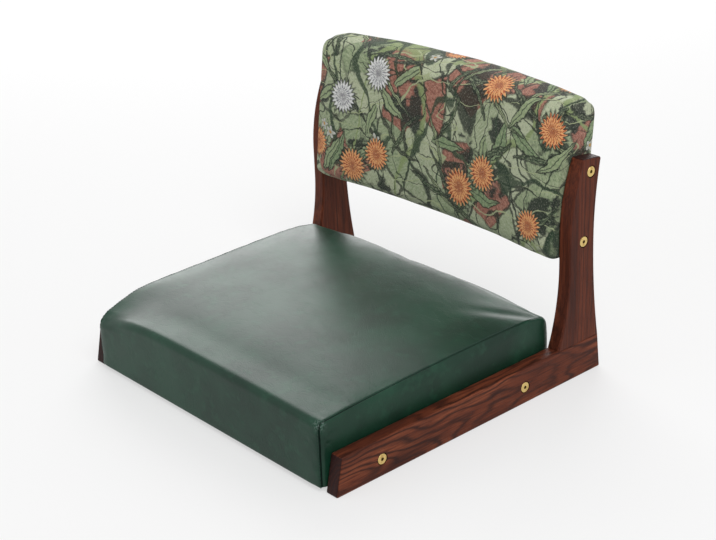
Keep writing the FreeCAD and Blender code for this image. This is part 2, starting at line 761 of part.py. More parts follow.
def side_batten(side):
    """A side batten with its outer corners rounded like the cushion's."""
    label = "seat_right_batten" if side > 0 else "seat_left_batten"
    body = new_body(f"{label}_blank")
    sketch = new_sketch(body, f"{label}_outline", "XY_Plane")
    inside = (SEAT_FRAME_HALF - BATTEN) * side
    outside = SEAT_FRAME_HALF * side
    draw_outline(sketch, [
        (inside, FRAME_FRONT, None, 0),
        ((SEAT_FRAME_HALF - FRONT_CORNER) * side, FRAME_FRONT, FRONT_CORNER, side),
        (outside, FRAME_FRONT + FRONT_CORNER, None, 0),
        (outside, FRAME_REAR - REAR_CORNER, REAR_CORNER, side),
        ((SEAT_FRAME_HALF - REAR_CORNER) * side, FRAME_REAR, None, 0),
        (inside, FRAME_REAR, None, 0),
    ])
    pad(body, sketch, cell("batten_height"))
    place(body, 0, SHIFT, cell("batten_bottom"))
    node(cut(label, body, seat_screws, seat_staples, *seat_insert_holes(side)), label)


def cross_batten(label, y):
    blank = box(f"{label}_blank", BATTEN - SEAT_FRAME_HALF, y + SHIFT, cell("batten_bottom"),
                (SEAT_FRAME_HALF - BATTEN) * 2, BATTEN, cell("batten_height"))
    node(cut(label, blank, seat_screws, seat_staples), label)


cross_batten("seat_front_batten", FRAME_FRONT)
cross_batten("seat_rear_batten", FRAME_REAR - BATTEN)
side_batten(1)
side_batten(-1)

plywood = new_body("seat_plywood_blank")
plywood_outline = new_sketch(plywood, "seat_plywood_outline", "XY_Plane")
draw_outline(plywood_outline, [
    (FRONT_CORNER - SEAT_FRAME_HALF, FRAME_FRONT, None, 0),
    (SEAT_FRAME_HALF - FRONT_CORNER, FRAME_FRONT, FRONT_CORNER, 1),
    (SEAT_FRAME_HALF, FRAME_FRONT + FRONT_CORNER, None, 0),
    (SEAT_FRAME_HALF, FRAME_REAR - REAR_CORNER, REAR_CORNER, 1),
    (SEAT_FRAME_HALF - REAR_CORNER, FRAME_REAR, None, 0),
    (REAR_CORNER - SEAT_FRAME_HALF, FRAME_REAR, REAR_CORNER, 1),
    (-SEAT_FRAME_HALF, FRAME_REAR - REAR_CORNER, None, 0),
    (-SEAT_FRAME_HALF, FRAME_FRONT + FRONT_CORNER, FRONT_CORNER, 1),
])
pad(plywood, plywood_outline, cell("plywood_thickness"))
place(plywood, 0, SHIFT, BATTEN_TOP)
node(cut("seat_plywood", plywood, seat_screws), "seat_plywood")

DUST = cell("dust_cover_margin")
dust_sheet = box("dust_sheet", DUST - SEAT_HALF, SEAT_FRONT + DUST + SHIFT,
                 cell("seat_bottom") - cell("dust_cover_thickness"),
                 (SEAT_HALF - DUST) * 2, SEAT_REAR - SEAT_FRONT - DUST * 2,
                 cell("dust_cover_thickness"))
doc.recompute()
dust_cover = doc.addObject("Part::Fillet", "dust_sheet_rounded")
dust_cover.Base = dust_sheet
dust_cover.Edges = [(index, number("dust_corner"), number("dust_corner"))
                    for index, edge in enumerate(dust_sheet.Shape.Edges, start=1)
                    if edge.BoundBox.ZLength > edge.BoundBox.XLength + edge.BoundBox.YLength]
node(cut("seat_dust_cover", dust_cover, seat_staples), "seat_dust_cover")


# Soft parts of the seat, worked out as shapes in the foot-of-rail frame

HOME = Placement(Vector(0, SHIFT.value, 0), Rotation())


def piece(label, shape, placement=HOME):
    """A piece whose form only Part's own functions can give."""
    solids = shape.Solids
    if len(solids) != 1:
        raise ValueError(f"{label} came out as {len(solids)} solids")
    feature = doc.addObject("Part::Feature", label)
    feature.Shape = solids[0]
    feature.Placement = placement
    return node(feature, label)


FAR = number("overall_width") * 2
EDGE = number("seat_front_corner")
foam_floor = slab((-FAR, -FAR, PLYWOOD_TOP.value), (FAR, FAR, FAR))
piece("seat_foam", seat_soft.common(foam_floor))

staple_holes = seat_staples.Shape.copy()
staple_holes.translate(Vector(0, -SHIFT.value, 0))
bolt_holes = Part.makeCompound([
    Part.makeCylinder(number("bolt_radius") + number("bolt_room"), FAR, Vector(-FAR / 2, y.value, z.value),
                      Vector(1, 0, 0))
    for y, z in RAIL_BOLTS
])
flange = number("flange_width")
window = slab((flange - SEAT_HALF.value, SEAT_FRONT.value + flange, -FAR),
              (SEAT_HALF.value - flange, SEAT_REAR.value - flange, number("batten_bottom")))
seat_shell = seat_outer.cut(seat_inner).cut(window).cut(staple_holes).cut(bolt_holes)
wall = seat_plan(0.0, FAR).cut(seat_plan(COVER.value, FAR))
rear_seam = SEAT_REAR.value - number("seat_rear_corner")
rear_low = slab((-FAR, rear_seam, -FAR),
                (FAR, FAR, number("seat_rear_height") - number("seat_rear_radius")))
side_zone = slab((SEAT_HALF.value - EDGE, -FAR, -FAR), (FAR, rear_seam, FAR))
underside = slab((SEAT_HALF.value - EDGE, -FAR, -FAR),
                 (FAR, rear_seam, number("seat_bottom") + COVER.value))
right_zone = side_zone.common(wall.fuse(underside))
right_cover = seat_shell.common(right_zone)
left_cover = seat_shell.common(right_zone.mirror(Vector(), Vector(1, 0, 0)))
rear_cover = seat_shell.common(rear_low)
top_cover = seat_shell.cut(rear_low).cut(right_zone).cut(right_zone.mirror(Vector(), Vector(1, 0, 0)))
piece("seat_right_side_cover", right_cover)
piece("seat_left_side_cover", left_cover)
piece("seat_rear_cover", rear_cover)
piece("seat_top_cover", top_cover)


# Back pad, built in the leaning frame whose origin is the lower bolt's axis

LEANING = Placement(Vector(0, number("back_bolt_depth") + SHIFT.value, number("back_bolt_height")),
                    Rotation(Vector(-1, 0, 0), number("back_lean")))
BOARD_HALF = BACK_FRAME_HALF
BOARD_APEX = cell("back_board_rear") + cell("back_bow")
BOARD_LOW = cell("back_board_bottom")
STILE_INSIDE = BOARD_HALF - cell("stile_width")
STILE_REAR = cell("stile_rear")


def lean(thing):
    """Move an object from the leaning frame to its place, tied to the sheet."""
    place(thing, 0, cell("back_bolt_depth") + SHIFT, cell("back_bolt_height"), LEANING.Rotation)
    thing.setExpression("Placement.Rotation.Angle", f"{LEAN.text} * 1 deg")
    return thing


def board_rear(x):
    """Where the back board's rear face stands at x."""
    return BOARD_APEX - bow(BACK_RADIUS, x)


def upright_block(label, corners, low, height):
    """A block with a plan outline, standing on the level low of the leaning frame."""
    body = new_body(f"{label}_blank")
    sketch = new_sketch(body, f"{label}_outline", "XY_Plane", low)
    draw_outline(sketch, corners)
    pad(body, sketch, height)
    return body


board_screw_x = BOARD_HALF - cell("stile_width") / 2
board_screw_y = board_rear(board_screw_x) - cell("back_board_thickness")
screw_pattern = copies("back_screws", screw,
                       [(x, board_screw_y, cell(level)) for x in (-board_screw_x, board_screw_x)
                        for level in ("back_screw_low", "back_screw_middle", "back_screw_high")],
                       Rotation(Vector(1, 0, 0), 90))

board_end = board_rear(BOARD_HALF)
board_front_end = board_end - cell("back_board_thickness")
board_blank = upright_block("back_board", [
    (-BOARD_HALF, board_front_end, BACK_RADIUS, -1),
    (BOARD_HALF, board_front_end, None, 0),
    (BOARD_HALF, board_end, BACK_RADIUS, 1),
    (-BOARD_HALF, board_end, None, 0),
], BOARD_LOW, cell("back_board_top") - BOARD_LOW)
board_pad = board_blank.Tip
corners = [f"Edge{index}" for index, edge in enumerate(board_pad.Shape.Edges, start=1)
           if edge.BoundBox.XLength < TOUCHING and edge.BoundBox.ZLength < TOUCHING
           and edge.BoundBox.ZMin > number("back_board_top") - NEARLY]
board_round = board_blank.newObject("PartDesign::Fillet", "back_board_corners")
board_round.Base = (board_pad, corners)
bind(board_round, Radius=cell("back_board_corner"))
doc.recompute()
back_board = cut("back_board", board_blank, screw_pattern)

stile_blank = upright_block("back_right_stile", [
    (STILE_INSIDE, board_rear(STILE_INSIDE), BACK_RADIUS, -1),
    (BOARD_HALF, board_end, None, 0),
    (BOARD_HALF, STILE_REAR, None, 0),
    (STILE_INSIDE, STILE_REAR, None, 0),
], BOARD_LOW, cell("stile_top") - BOARD_LOW)
stile_holes = [
    cylinder(f"stile_hole_{index}", cell("insert_radius") + cell("thread_fit"),
             cell("insert_hole_depth"), BOARD_HALF - cell("insert_hole_depth"), 0, level, ALONG_X)
    for index, level in enumerate((Size.of(0), cell("back_bolt_spacing")), start=1)
]
right_stile = cut("back_right_stile", stile_blank, screw_pattern, *stile_holes)


def cross_rail(label, low):
    """A rail of the back frame between the stiles, hollowed to the back board's curve."""
    return upright_block(label, [
        (-STILE_INSIDE, board_rear(STILE_INSIDE), BACK_RADIUS, -1),
        (STILE_INSIDE, board_rear(STILE_INSIDE), None, 0),
        (STILE_INSIDE, STILE_REAR, None, 0),
        (-STILE_INSIDE, STILE_REAR, None, 0),
    ], low, cell("cross_rail_height"))


top_rail = cross_rail("back_top_rail", cell("stile_top") - cell("cross_rail_height"))
bottom_rail = cross_rail("back_bottom_rail", BOARD_LOW)
doc.recompute()

pad_holes = Part.makeCompound([
    Part.makeCylinder(number("bolt_radius") + number("bolt_room"), FAR, Vector(-FAR / 2, 0, level),
                      Vector(1, 0, 0))
    for level in (0.0, number("back_bolt_spacing"))
])
beyond = HALF_WIDTH.value
beyond_rear = board_rear(HALF_WIDTH).value
ahead = Part.Face(Part.Wire([
    Part.Arc(Vector(-beyond, beyond_rear, -beyond), Vector(0, BOARD_APEX.value, -beyond),
             Vector(beyond, beyond_rear, -beyond)).toShape(),
    straight(Vector(beyond, beyond_rear, -beyond), Vector(beyond, -beyond, -beyond)),
    straight(Vector(beyond, -beyond, -beyond), Vector(-beyond, -beyond, -beyond)),
    straight(Vector(-beyond, -beyond, -beyond), Vector(-beyond, beyond_rear, -beyond)),
])).extrude(UP * FAR)
front_foam = back_soft.common(ahead).cut(board_blank.Shape).cut(screw_pattern.Shape).cut(pad_holes)
rear_foam = back_soft.cut(ahead).cut(stile_blank.Shape)
rear_foam = rear_foam.cut(stile_blank.Shape.mirror(Vector(), Vector(1, 0, 0)))
rear_foam = rear_foam.cut(top_rail.Shape).cut(bottom_rail.Shape).cut(pad_holes)
piece("back_front_foam", front_foam, LEANING)
piece("back_rear_foam", rear_foam, LEANING)

margin = number("rear_panel_margin")
panel = slab((margin - BACK_HALF.value, 0, number("back_bottom") + margin),
             (BACK_HALF.value - margin, FAR, number("back_top") - margin))
panel_edges = [edge for edge in panel.Edges if edge.BoundBox.YLength > FAR / 2]
panel = panel.makeFillet(number("rear_panel_corner"), panel_edges)
back_shell = back_outer.cut(back_inner).cut(pad_holes)
piece("back_rear_cover", back_shell.common(panel), LEANING)
piece("back_front_cover", back_shell.cut(panel), LEANING)

node(lean(back_board), "back_board")
node(lean(right_stile), "back_right_stile")
mirrored(right_stile, "back_left_stile")
node(lean(top_rail), "back_top_rail")
node(lean(bottom_rail), "back_bottom_rail")
node(lean(group("back_board_screws", [screw_pattern])), "back_board_screws")


# Check and write every piece

doc.recompute()
for thing in doc.Objects:
    if "Invalid" in thing.State or "Error" in thing.State:
        raise ValueError(f"{thing.Name} is {thing.State}")
os.makedirs("parts", exist_ok=True)
for thing in nodes:
    if thing.Shape.isNull() or not thing.Shape.isValid():
        raise ValueError(f"{thing.Label} has no sound shape")
    thing.Shape.exportStep(f"parts/{thing.Label}.step")
    extent = thing.Shape.BoundBox
    print(f"{thing.Label}: {len(thing.Shape.Solids)} solid(s), "
          f"{extent.XLength:.1f} x {extent.YLength:.1f} x {extent.ZLength:.1f} mm")
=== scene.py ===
"""A low floor chair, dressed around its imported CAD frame.

Two wooden side frames carry a leatherette seat cushion and a back pad in a woven floral cover.
Lengths are in metres, in the CAD model's own frame: the floor is z = 0 and the front looks along -y.
"""

import enum
import logging
import math
from dataclasses import dataclass
from typing import Iterable, Sequence

import bpy
import numpy as np
from mathutils import Matrix, Vector, noise


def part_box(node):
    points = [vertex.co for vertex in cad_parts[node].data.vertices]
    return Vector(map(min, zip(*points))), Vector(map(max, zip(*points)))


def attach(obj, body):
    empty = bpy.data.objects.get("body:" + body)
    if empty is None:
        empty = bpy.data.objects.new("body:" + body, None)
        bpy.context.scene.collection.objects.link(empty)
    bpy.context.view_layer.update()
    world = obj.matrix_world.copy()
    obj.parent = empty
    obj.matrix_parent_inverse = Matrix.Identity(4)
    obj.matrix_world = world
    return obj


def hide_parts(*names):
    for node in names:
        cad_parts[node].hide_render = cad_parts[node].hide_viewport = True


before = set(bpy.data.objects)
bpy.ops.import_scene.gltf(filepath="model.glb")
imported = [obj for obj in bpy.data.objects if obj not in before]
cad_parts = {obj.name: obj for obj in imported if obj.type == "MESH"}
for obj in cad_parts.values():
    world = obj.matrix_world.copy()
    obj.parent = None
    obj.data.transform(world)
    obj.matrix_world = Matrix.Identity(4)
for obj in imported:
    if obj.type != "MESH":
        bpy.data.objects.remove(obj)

LOG = logging.getLogger("floor_chair")
X, Y, Z = 0, 1, 2
NEAR = 1e-6
HALF_WIDTH = 0.25  # from the middle to a rail's outer face
HEAD_RADIUS = 0.007  # of a bolt
SEAM_ROOM = 0.0034  # between a seam and the grid lines beside it
SEAM_SHARPNESS = 1.6

Colour = tuple[float, float, float, float]
WHITE: Colour = (1.0, 1.0, 1.0, 1.0)


def tint(red: int, green: int, blue: int) -> Colour:
    """Turn screen values from 0 to 255 into a linear colour.

    Args:
        red: Red as a screen shows it.
        green: Green as a screen shows it.
        blue: Blue as a screen shows it.

    Returns:
        The colour as the shader sockets want it, opaque.
    """
    def linear(part: int) -> float:
        """One channel, without the screen's gamma."""
        share = part / 255
        return share / 12.92 if share <= 0.04045 else ((share + 0.055) / 1.055) ** 2.4

    return (linear(red), linear(green), linear(blue), 1.0)


# Shader nodes


class Value:
    """A number on a shader node's socket; sums on it add Math nodes."""

    def __init__(self, graph: "Graph", socket: bpy.types.NodeSocket) -> None:
        """Keep the socket and the graph that it belongs to."""
        self.graph = graph
        self.socket = socket

    def _math(self, operation: str, *terms: "Value | float") -> "Value":
        """Add one Math node over the given terms."""
        return self.graph.value("Math", {"operation": operation}, dict(enumerate(terms)))

    def __add__(self, other: "Value | float") -> "Value":
        """This number plus another."""
        return self._math("ADD", self, other)

    __radd__ = __add__

    def __sub__(self, other: "Value | float") -> "Value":
        """This number less another."""
        return self._math("SUBTRACT", self, other)

    def __rsub__(self, other: float) -> "Value":
        """Another number less this one."""
        return self._math("SUBTRACT", other, self)

    def __mul__(self, other: "Value | float") -> "Value":
        """This number times another."""
        return self._math("MULTIPLY", self, other)

    __rmul__ = __mul__

    def __truediv__(self, other: "Value | float") -> "Value":
        """This number over another."""
        return self._math("DIVIDE", self, other)

    def __rtruediv__(self, other: float) -> "Value":
        """Another number over this one."""
        return self._math("DIVIDE", other, self)

    def __pow__(self, power: float) -> "Value":
        """This number to a power."""
        return self._math("POWER", self, power)

    def above(self, limit: "Value | float") -> "Value":
        """1 where this number is over the limit, else 0."""
        return self._math("GREATER_THAN", self, limit)

    def largest(self, other: "Value | float") -> "Value":
        """The larger of two numbers."""
        return self._math("MAXIMUM", self, other)

    def sine(self) -> "Value":
        """Sine of this angle in radians."""
        return self._math("SINE", self)

    def cosine(self) -> "Value":
        """Cosine of this angle in radians."""
        return self._math("COSINE", self)

    def size(self) -> "Value":
        """This number without its sign."""
        return self._math("ABSOLUTE", self)

    def root(self) -> "Value":
        """Square root."""
        return self._math("SQRT", self)

    def angle(self, across: "Value") -> "Value":
        """Angle of the point (across, self) round its origin."""
        return self._math("ARCTAN2", self, across)

    def ease(self, start: "Value | float", end: "Value | float") -> "Value":
        """A smooth step; start may be the larger one.

        Args:
            start: Where it leaves 0.
            end: Where it reaches 1.

        Returns:
            From 0 to 1.
        """
        return self.graph.value(
            "MapRange", {"interpolation_type": "SMOOTHSTEP"},
            {"Value": self, "From Min": start, "From Max": end, "To Min": 0.0, "To Max": 1.0})


class Graph:
    """The node tree of one material, or of the world."""

    def __init__(self, owner: bpy.types.Material | bpy.types.World) -> None:
        """Take over the owner's node tree and empty it.

        Args:
            owner: A new material or world.
        """
        self.owner = owner
        owner.use_nodes = True
        self.tree = owner.node_tree
        self.tree.nodes.clear()

    @classmethod
    def of_material(cls, name: str) -> "Graph":
        """The empty graph of a new material."""
        return cls(bpy.data.materials.new(name))

    def node(self, kind: str, settings: dict[str, object] | None = None,
             sockets: dict[str | int, object] | None = None) -> bpy.types.Node:
        """Add a shader node.

        Args:
            kind: The node's type, without its ShaderNode prefix.
            settings: Its properties, set first; "stops" are a ramp's (place, colour) pairs.
            sockets: Values or links by the socket's name, or its number among the open ones.

        Returns:
            The new node.
        """
        made = self.tree.nodes.new("ShaderNode" + kind)
        for name, setting in (settings or {}).items():
            if name == "stops":
                self._fill_ramp(made.color_ramp, setting)
            else:
                setattr(made, name, setting)
        open_sockets = [socket for socket in made.inputs if socket.enabled]
        for key, content in (sockets or {}).items():
            socket = (open_sockets[key] if isinstance(key, int)
                      else next(item for item in open_sockets if item.name == key))
            if isinstance(content, Value):
                content = content.socket
            if isinstance(content, bpy.types.NodeSocket):
                self.tree.links.new(content, socket)
            else:
                socket.default_value = content
        return made

    @staticmethod
    def _fill_ramp(ramp: bpy.types.ColorRamp, stops: Sequence[tuple[float, Colour]]) -> None:
        """Give a colour ramp its stops.

        Args:
            ramp: The ramp.
            stops: Places from 0 to 1 and their colours.
        """
        while len(ramp.elements) < len(stops):
            ramp.elements.new(1.0)
        for element, (place, colour) in zip(ramp.elements, stops):
            element.position = place
            element.color = colour

    def output(self, kind: str, settings: dict[str, object] | None = None,
               sockets: dict[str | int, object] | None = None,
               wanted: int = 0) -> bpy.types.NodeSocket:
        """Add a node and return one of its open outputs."""
        made = self.node(kind, settings, sockets)
        return [socket for socket in made.outputs if socket.enabled][wanted]

    def value(self, kind: str, settings: dict[str, object] | None = None,
              sockets: dict[str | int, object] | None = None, wanted: int = 0) -> Value:
        """Add a node and return one of its outputs as a number."""
        return Value(self, self.output(kind, settings, sockets, wanted))

    def place(self) -> bpy.types.NodeSocket:
        """The point's place on the object, in metres."""
        return self.node("TexCoord").outputs["Object"]

    def vector(self, operation: str, first: object, second: object) -> bpy.types.NodeSocket:
        """A sum on two vectors."""
        return self.output("VectorMath", {"operation": operation}, {0: first, 1: second})

    def length(self, vector: bpy.types.NodeSocket) -> Value:
        """A vector's length."""
        return self.value("VectorMath", {"operation": "LENGTH"}, {0: vector})

    def parts(self, vector: bpy.types.NodeSocket) -> tuple[Value, Value, Value]:
        """A vector's three numbers."""
        split = self.node("SeparateXYZ", {}, {0: vector})
        return tuple(Value(self, socket) for socket in split.outputs)

    def joined(self, x: "Value | float", y: "Value | float",
               z: "Value | float") -> bpy.types.NodeSocket:
        """A vector from three numbers."""
        return self.output("CombineXYZ", {}, {0: x, 1: y, 2: z})

    def stretched(self, vector: bpy.types.NodeSocket, scale: tuple[float, float, float],
                  shift: tuple[float, float, float] = (0.0, 0.0, 0.0)) -> bpy.types.NodeSocket:
        """A vector scaled along its axes and then shifted."""
        return self.output("Mapping", {}, {"Vector": vector, "Scale": scale, "Location": shift})

    def grain(self, vector: bpy.types.NodeSocket, scale: float, detail: float = 2.0,
              roughness: float = 0.5, distortion: float = 0.0) -> Value:
        """Soft noise from 0 to 1."""
        return self.value("TexNoise", {}, {"Vector": vector, "Scale": scale, "Detail": detail,
                                           "Roughness": roughness, "Distortion": distortion})

    def mixed(self, share: "Value | float", first: object,
              second: object) -> bpy.types.NodeSocket:
        """A colour between two colours."""
        return self.output("Mix", {"data_type": "RGBA"}, {"Factor": share, "A": first, "B": second})

    def bump(self, height: Value, depth: float, strength: float = 1.0,
             below: bpy.types.NodeSocket | None = None) -> bpy.types.NodeSocket:
        """A normal from a height.

        Args:
            height: The height, about 0 to 1.
            depth: How many metres a height of 1 stands for.
            strength: From 0 to 1.
            below: The normal of a coarser layer.

        Returns:
            The normal.
        """
        sockets = {"Height": height, "Distance": depth, "Strength": strength}
        if below is not None:
            sockets["Normal"] = below
        return self.output("Bump", {}, sockets)

    def surface(self, **sockets: object) -> bpy.types.Material:
        """Close the graph with a Principled shader.

        Args:
            sockets: Its sockets, with an underscore for each space in their names.

        Returns:
            The finished material.
        """
        named = {name.replace("_", " "): content for name, content in sockets.items()}
        shader = self.output("BsdfPrincipled", {}, named)
        return self.close(shader)

    def in_view(self) -> Value:
        """Tell what is seen from what only lights other surfaces.

        Returns:
            1 for the camera and in reflections, 0 elsewhere.
        """
        path = self.node("LightPath")
        camera, glossy = (Value(self, path.outputs[f"Is {ray} Ray"]) for ray in ("Camera", "Glossy"))
        return camera.largest(glossy)

    def close(self, shader: bpy.types.NodeSocket) -> bpy.types.Material | bpy.types.World:
        """Lead a shader to the output.

        Args:
            shader: The finished shader.

        Returns:
            The material or the world.
        """
        of_world = isinstance(self.owner, bpy.types.World)
        self.node("OutputWorld" if of_world else "OutputMaterial", {}, {"Surface": shader})
        return self.owner


# Finishes


class Grain(enum.Enum):
    """Which way a board's grain runs."""

    ALONG_DEPTH = "depth"
    ALONG_HEIGHT = "height"


@dataclass(frozen=True)
class StainedWood:
    """Dark reddish-brown open-grained wood under satin varnish."""

    name: str
    run: Grain
    heart: float = 0.030  # rings' centre behind the outer face
    heart_height: float = 0.012
    tilt: float = 0.11  # how fast the rings' centre comes nearer along the board
    ring: float = 0.0072
    warp: float = 0.010
    flow: float = 7.0
    slowness: float = 0.30  # how slowly the figure changes along the board
    contrast: float = 0.35
    seed: float = 0.0
    ground: tuple[tuple[float, Colour], ...] = (
        (0.32, tint(72, 34, 23)), (0.50, tint(106, 53, 35)), (0.68, tint(146, 82, 55)))
    late_wood: Colour = tint(38, 18, 14)
    knot: Colour = tint(42, 20, 17)
    streak: Colour = tint(56, 26, 20)
    pore: Colour = tint(32, 15, 13)
    end_grain: Colour = tint(36, 20, 21)
    pore_depth: float = 0.00022

    def material(self) -> bpy.types.Material:
        """Build the varnished wood.

        Returns:
            Its material.
        """
        graph = Graph.of_material(self.name)
        place = graph.place()
        x, y, z = graph.parts(place)
        along, across = (y, z) if self.run is Grain.ALONG_DEPTH else (z, y)
        lean = graph.joined(x * 1.6, across, along * self.slowness)
        drift = graph.stretched(lean, (1, 1, 1), (self.seed, self.seed * 0.7, self.seed * 1.3))
        sway = graph.parts(graph.output("TexNoise", {}, {"Vector": drift, "Scale": self.flow * 3,
                                                          "Detail": 2.0}, 1))
        inward = (x.size() - HALF_WIDTH) * -1.0 + self.heart + along * self.tilt
        inward = inward + (sway[0] - 0.5) * self.warp * 4
        sideways = across - self.heart_height + (sway[1] - 0.5) * self.warp * 5
        radius = (inward * inward + sideways * sideways).root()
        fine = graph.grain(graph.joined(x, across, along * 0.10), 150.0, 3.0, 0.6)
        turns = radius / self.ring + (sway[2] - 0.5) * 1.2 + (fine - 0.5) * 0.9
        wave = (turns * math.tau).sine() * 0.5 + 0.5
        late = wave ** 2.4
        fibres = graph.grain(graph.joined(x, across, along * 0.035), 620.0, 4.0, 0.65)
        pores = graph.grain(graph.joined(x, across, along * 0.06), 1150.0, 2.0, 0.6).ease(0.60, 0.70)
        clouds = graph.grain(lean, 26.0, 3.0, 0.55)
        ground = graph.output("ValToRGB", {"stops": self.ground}, {0: clouds * 0.5 + fibres * 0.5})
        ringed = graph.mixed(late * (clouds.ease(0.32, 0.60) * 0.5 + self.contrast), ground,
                             self.late_wood)
        knotty = graph.mixed(graph.grain(lean, 15.0, 3.0, 0.55).ease(0.52, 0.70) * 0.65, ringed,
                             self.knot)
        streaked = graph.mixed(fibres.ease(0.50, 0.36) * 0.35, knotty, self.streak)
        pored = graph.mixed(pores * 0.6, streaked, self.pore)
        facing = graph.parts(graph.node("TexCoord").outputs["Normal"])
        cut_end = facing[Y if self.run is Grain.ALONG_DEPTH else Z].size().ease(0.55, 0.85)
        colour = graph.mixed(cut_end * 0.88, pored, self.end_grain)
        normal = graph.bump(pores * -1.0 + late * -0.5 + fibres * 0.25, self.pore_depth, 0.7)
        return graph.surface(Base_Color=colour, Roughness=0.40 + fibres * 0.18 - late * 0.05,
                             Normal=normal, Specular_IOR_Level=0.12)


@dataclass(frozen=True)
class RawWood:
    """Pale unvarnished softwood and plywood."""

    name: str
    pale: Colour
    dark: Colour

    def material(self) -> bpy.types.Material:
        """Build the raw wood.

        Returns:
            Its material.
        """
        graph = Graph.of_material(self.name)
        x, y, z = graph.parts(graph.place())
        bands = graph.grain(graph.joined(x * 0.08, y, z * 2.5), 160.0, 4.0, 0.6, 0.4)
        specks = graph.grain(graph.place(), 900.0, 2.0)
        colour = graph.mixed(bands.ease(0.35, 0.68), self.pale, self.dark)
        speckled = graph.mixed(specks.ease(0.60, 0.75) * 0.3, colour, self.dark)
        return graph.surface(Base_Color=speckled, Roughness=0.72 + specks * 0.1,
                             Normal=graph.bump(bands + specks * 0.4, 0.0003, 0.6))


@dataclass(frozen=True)
class Plating:
    """A plated or bare metal with fine marks of handling, and painted shade in its bolts' hex sockets.
    """

    name: str
    bright: Colour
    dull: Colour
    roughness: float
    sockets: tuple[tuple[float, float], ...] = ()  # bolt axes in depth and height, round which the hex sockets get painted shade
    socket_radius: float = 0.0022
    socket_painted_shade: Colour = tint(62, 46, 20)

    def material(self) -> bpy.types.Material:
        """Build the metal.

        Returns:
            Its material.
        """
        graph = Graph.of_material(self.name)
        place = graph.place()
        clouds = graph.grain(place, 240.0, 4.0, 0.6)
        scratches = graph.grain(graph.stretched(place, (1.0, 0.12, 1.0)), 2600.0, 3.0, 0.6)
        colour = graph.mixed(clouds.ease(0.45, 0.75), self.bright, self.dull)
        roughness = self.roughness + clouds * 0.12 + scratches * 0.08
        _, depth, height = graph.parts(place)
        # Painted shade: each bolt's hex socket is darkened round its axis, where the recess lies in
        # shade.
        for axis_depth, axis_height in self.sockets:
            away = graph.length(graph.joined(0.0, depth - axis_depth, height - axis_height))
            socket_shading = away.ease(self.socket_radius * 1.15, self.socket_radius * 0.9)
            colour = graph.mixed(socket_shading * 0.85, colour, self.socket_painted_shade)
            roughness = roughness + socket_shading * 0.3
        return graph.surface(Base_Color=colour, Metallic=1.0, Roughness=roughness,
                             Normal=graph.bump(scratches, 0.00003, 0.5))


@dataclass(frozen=True)
class Leatherette:
    """Dark green leatherette with a fine grain and a soft gloss."""

    name: str = "green_leatherette"
    body: Colour = tint(19, 62, 44)
    deep: Colour = tint(11, 44, 31)
    worn: Colour = tint(34, 80, 59)
    sewn: Colour = tint(6, 16, 13)
    # painted highlight: pale glints flecked over the crumpled front right corner
    crumple_glint: Colour = tint(146, 168, 160)
    crease_depth: float = 0.0012
    grain_depth: float = 0.00009
    seam: str = "seam"
    crumple: str = "crumple"

    def material(self) -> bpy.types.Material:
        """Build the leatherette.

        Returns:
            Its material.
        """
        graph = Graph.of_material(self.name)
        place = graph.place()
        clouds = graph.grain(place, 9.0, 3.0, 0.55)
        mottle = graph.grain(place, 55.0, 3.0, 0.6)
        pebbles = graph.value("TexVoronoi", {"feature": "SMOOTH_F1"},
                              {"Vector": place, "Scale": 780.0, "Smoothness": 0.6})
        pebble_width = graph.value("TexVoronoi", {"feature": "DISTANCE_TO_EDGE"},
                                   {"Vector": place, "Scale": 420.0})
        folds = graph.grain(graph.stretched(place, (1.0, 2.2, 1.0)), 34.0, 3.0, 0.6, 0.8)
        crease = (folds - 0.5).size().ease(0.030, 0.0)
        seam = graph.value("Attribute", {"attribute_name": self.seam}, {}, 2)
        crumple = graph.value("Attribute", {"attribute_name": self.crumple}, {}, 2)
        crumbs = graph.grain(place, 460.0, 2.0, 0.6)
        colour = graph.mixed(clouds.ease(0.35, 0.66), self.body, self.deep)
        mottled = graph.mixed(mottle.ease(0.52, 0.72) * 0.35, colour, self.worn)
        sewn = seam.ease(0.40, 0.85)
        stitched = graph.mixed(sewn * 0.95, mottled, self.sewn)
        # Painted highlight: pale specks on the crumpled corner stand for glints on its puckers.
        flecked = graph.mixed(crumbs.ease(0.50, 0.58) * crumple, stitched, self.crumple_glint)
        rough = 0.29 + clouds * 0.10 + mottle * 0.06 + crease * 0.04 + sewn * 0.5
        waves = graph.grain(place, 17.0, 2.0, 0.5)
        coarse = graph.bump(waves + crease * -0.12 + crumbs * crumple * 1.4, self.crease_depth, 0.35)
        pebbled = pebbles + pebble_width.ease(0.0, 0.25) * 0.5
        fine = graph.bump(pebbled, self.grain_depth, 0.55, coarse)
        return graph.surface(Base_Color=flecked, Roughness=rough, Normal=fine,
                             Specular_IOR_Level=0.26)


